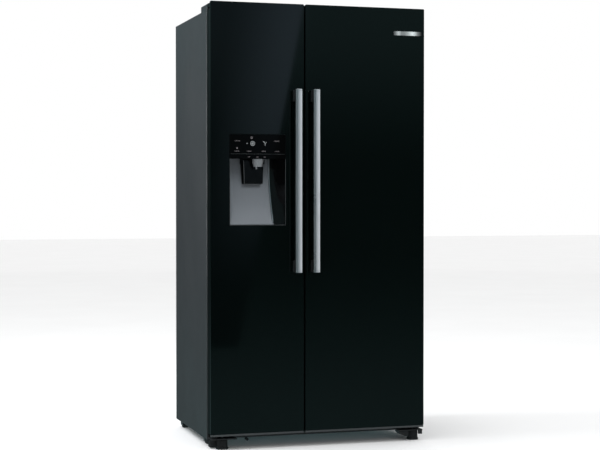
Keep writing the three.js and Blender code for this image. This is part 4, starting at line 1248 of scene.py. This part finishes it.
def slanted_card():
    """A soft card with a slanted edge that the freezer door mirrors."""
    lean = 0.2
    edge = 1.166
    card = Glow("slanted_card", (0.62, 0.82, 1.0))
    across = card.along((1, 0, -lean), edge - 0.66, edge, 0.0, 1.0)
    upward = card.along(UP, 0.2, 1.8, 0.0, 0.34)
    dome_behind = card.along(UP, 1.18, 2.54, 0.03, 0.17)
    shape = bmesh.new()
    corners = ((0.2, -0.2), (edge - 0.2 * lean, -0.2), (edge + 3.4 * lean, 3.4), (0.2, 3.4))
    shape.faces.new([shape.verts.new((x, -6, z)) for x, z in corners])
    card.stage("slanted_card", shape, card.mix(card.mix(across, upward, "MULTIPLY"), dome_behind, "ADD"))


def area_light(name, place, target, size, energy, receivers=None, spread=180, glossy=True):
    """A soft light aimed at a point; with receivers it lights only pieces with those name endings."""
    light = bpy.data.lights.new(name, "AREA")
    light.shape = "RECTANGLE"
    light.size, light.size_y = size
    light.energy = energy
    light.color = COOL_WHITE
    light.spread = math.radians(spread)
    lamp = bpy.data.objects.new(name, light)
    lamp.visible_glossy = glossy
    lamp.location = place
    lamp.rotation_euler = (Vector(target) - Vector(place)).to_track_quat("-Z", "Y").to_euler()
    bpy.context.scene.collection.objects.link(lamp)
    if receivers:
        group = bpy.data.collections.new(name + "_receivers")
        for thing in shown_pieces():
            if thing.name.endswith(receivers):
                group.objects.link(thing)
        lamp.light_linking.receiver_collection = group


def lights():
    handles = (-0.1, -0.3, 1.1)
    bright = ("_bar", "_end_caps", "trim_strip", "_guard", "_scoop_highlight_rim", "paddle_edge_highlight")
    area_light("top_softbox", (0.4, -0.6, 4.4), (0.0, 0.0, 0.9), (2.5, 2.5), 40)
    area_light("left_top_softbox", (-2.7, 0.2, 3.3), (-0.45, 0.05, 1.5), (1.6, 1.6), 100)
    area_light("left_beam", (-3.4, 0.0, 1.2), (-0.45, 0.05, 1.15), (1.0, 1.0), 5, "side_skin_left", 48)
    area_light("metal_front_light", (2.2, -5.4, 1.3), handles, (2.4, 3.6), 19, bright)
    area_light("metal_right_light", (3.6, -2.6, 1.3), handles, (3.5, 3.6), 42, bright)
    area_light("metal_left_light", (-3.6, -3.4, 1.2), handles, (1.4, 3.0), 7, bright)
    area_light("niche_light", (0.9, -2.2, 3.2), (-0.27, -0.25, 0.97), (1.1, 1.1), 62, "_scoop", glossy=False)


def photo_camera():
    data = bpy.data.cameras.new("camera")
    data.lens = 86.45
    data.sensor_width = 36
    camera = bpy.data.objects.new("camera", data)
    camera.location = (-1.774, -5.8695, 1.003)
    camera.rotation_euler = (math.radians(88.96), 0, math.radians(-16.9))
    bpy.context.scene.collection.objects.link(camera)
    bpy.context.scene.camera = camera
    bpy.context.scene.view_settings.view_transform = "Standard"


glass_fronts()
handle("freezer_handle", "freezer_door")
handle("fridge_handle", "fridge_door")
trim_strip()
scoop()
side_wall()
dispenser_trim()
control_panel()
spout()
paddle()
cabinet_outside()
running_gear()
compartments()
shelves_and_drawers()
ice_bucket()
ice_maker()
door_insides()
machine_compartment()
photo_camera()
plain_floor()
pale_world()
dark_studio_walls()
slanted_card()
lights()
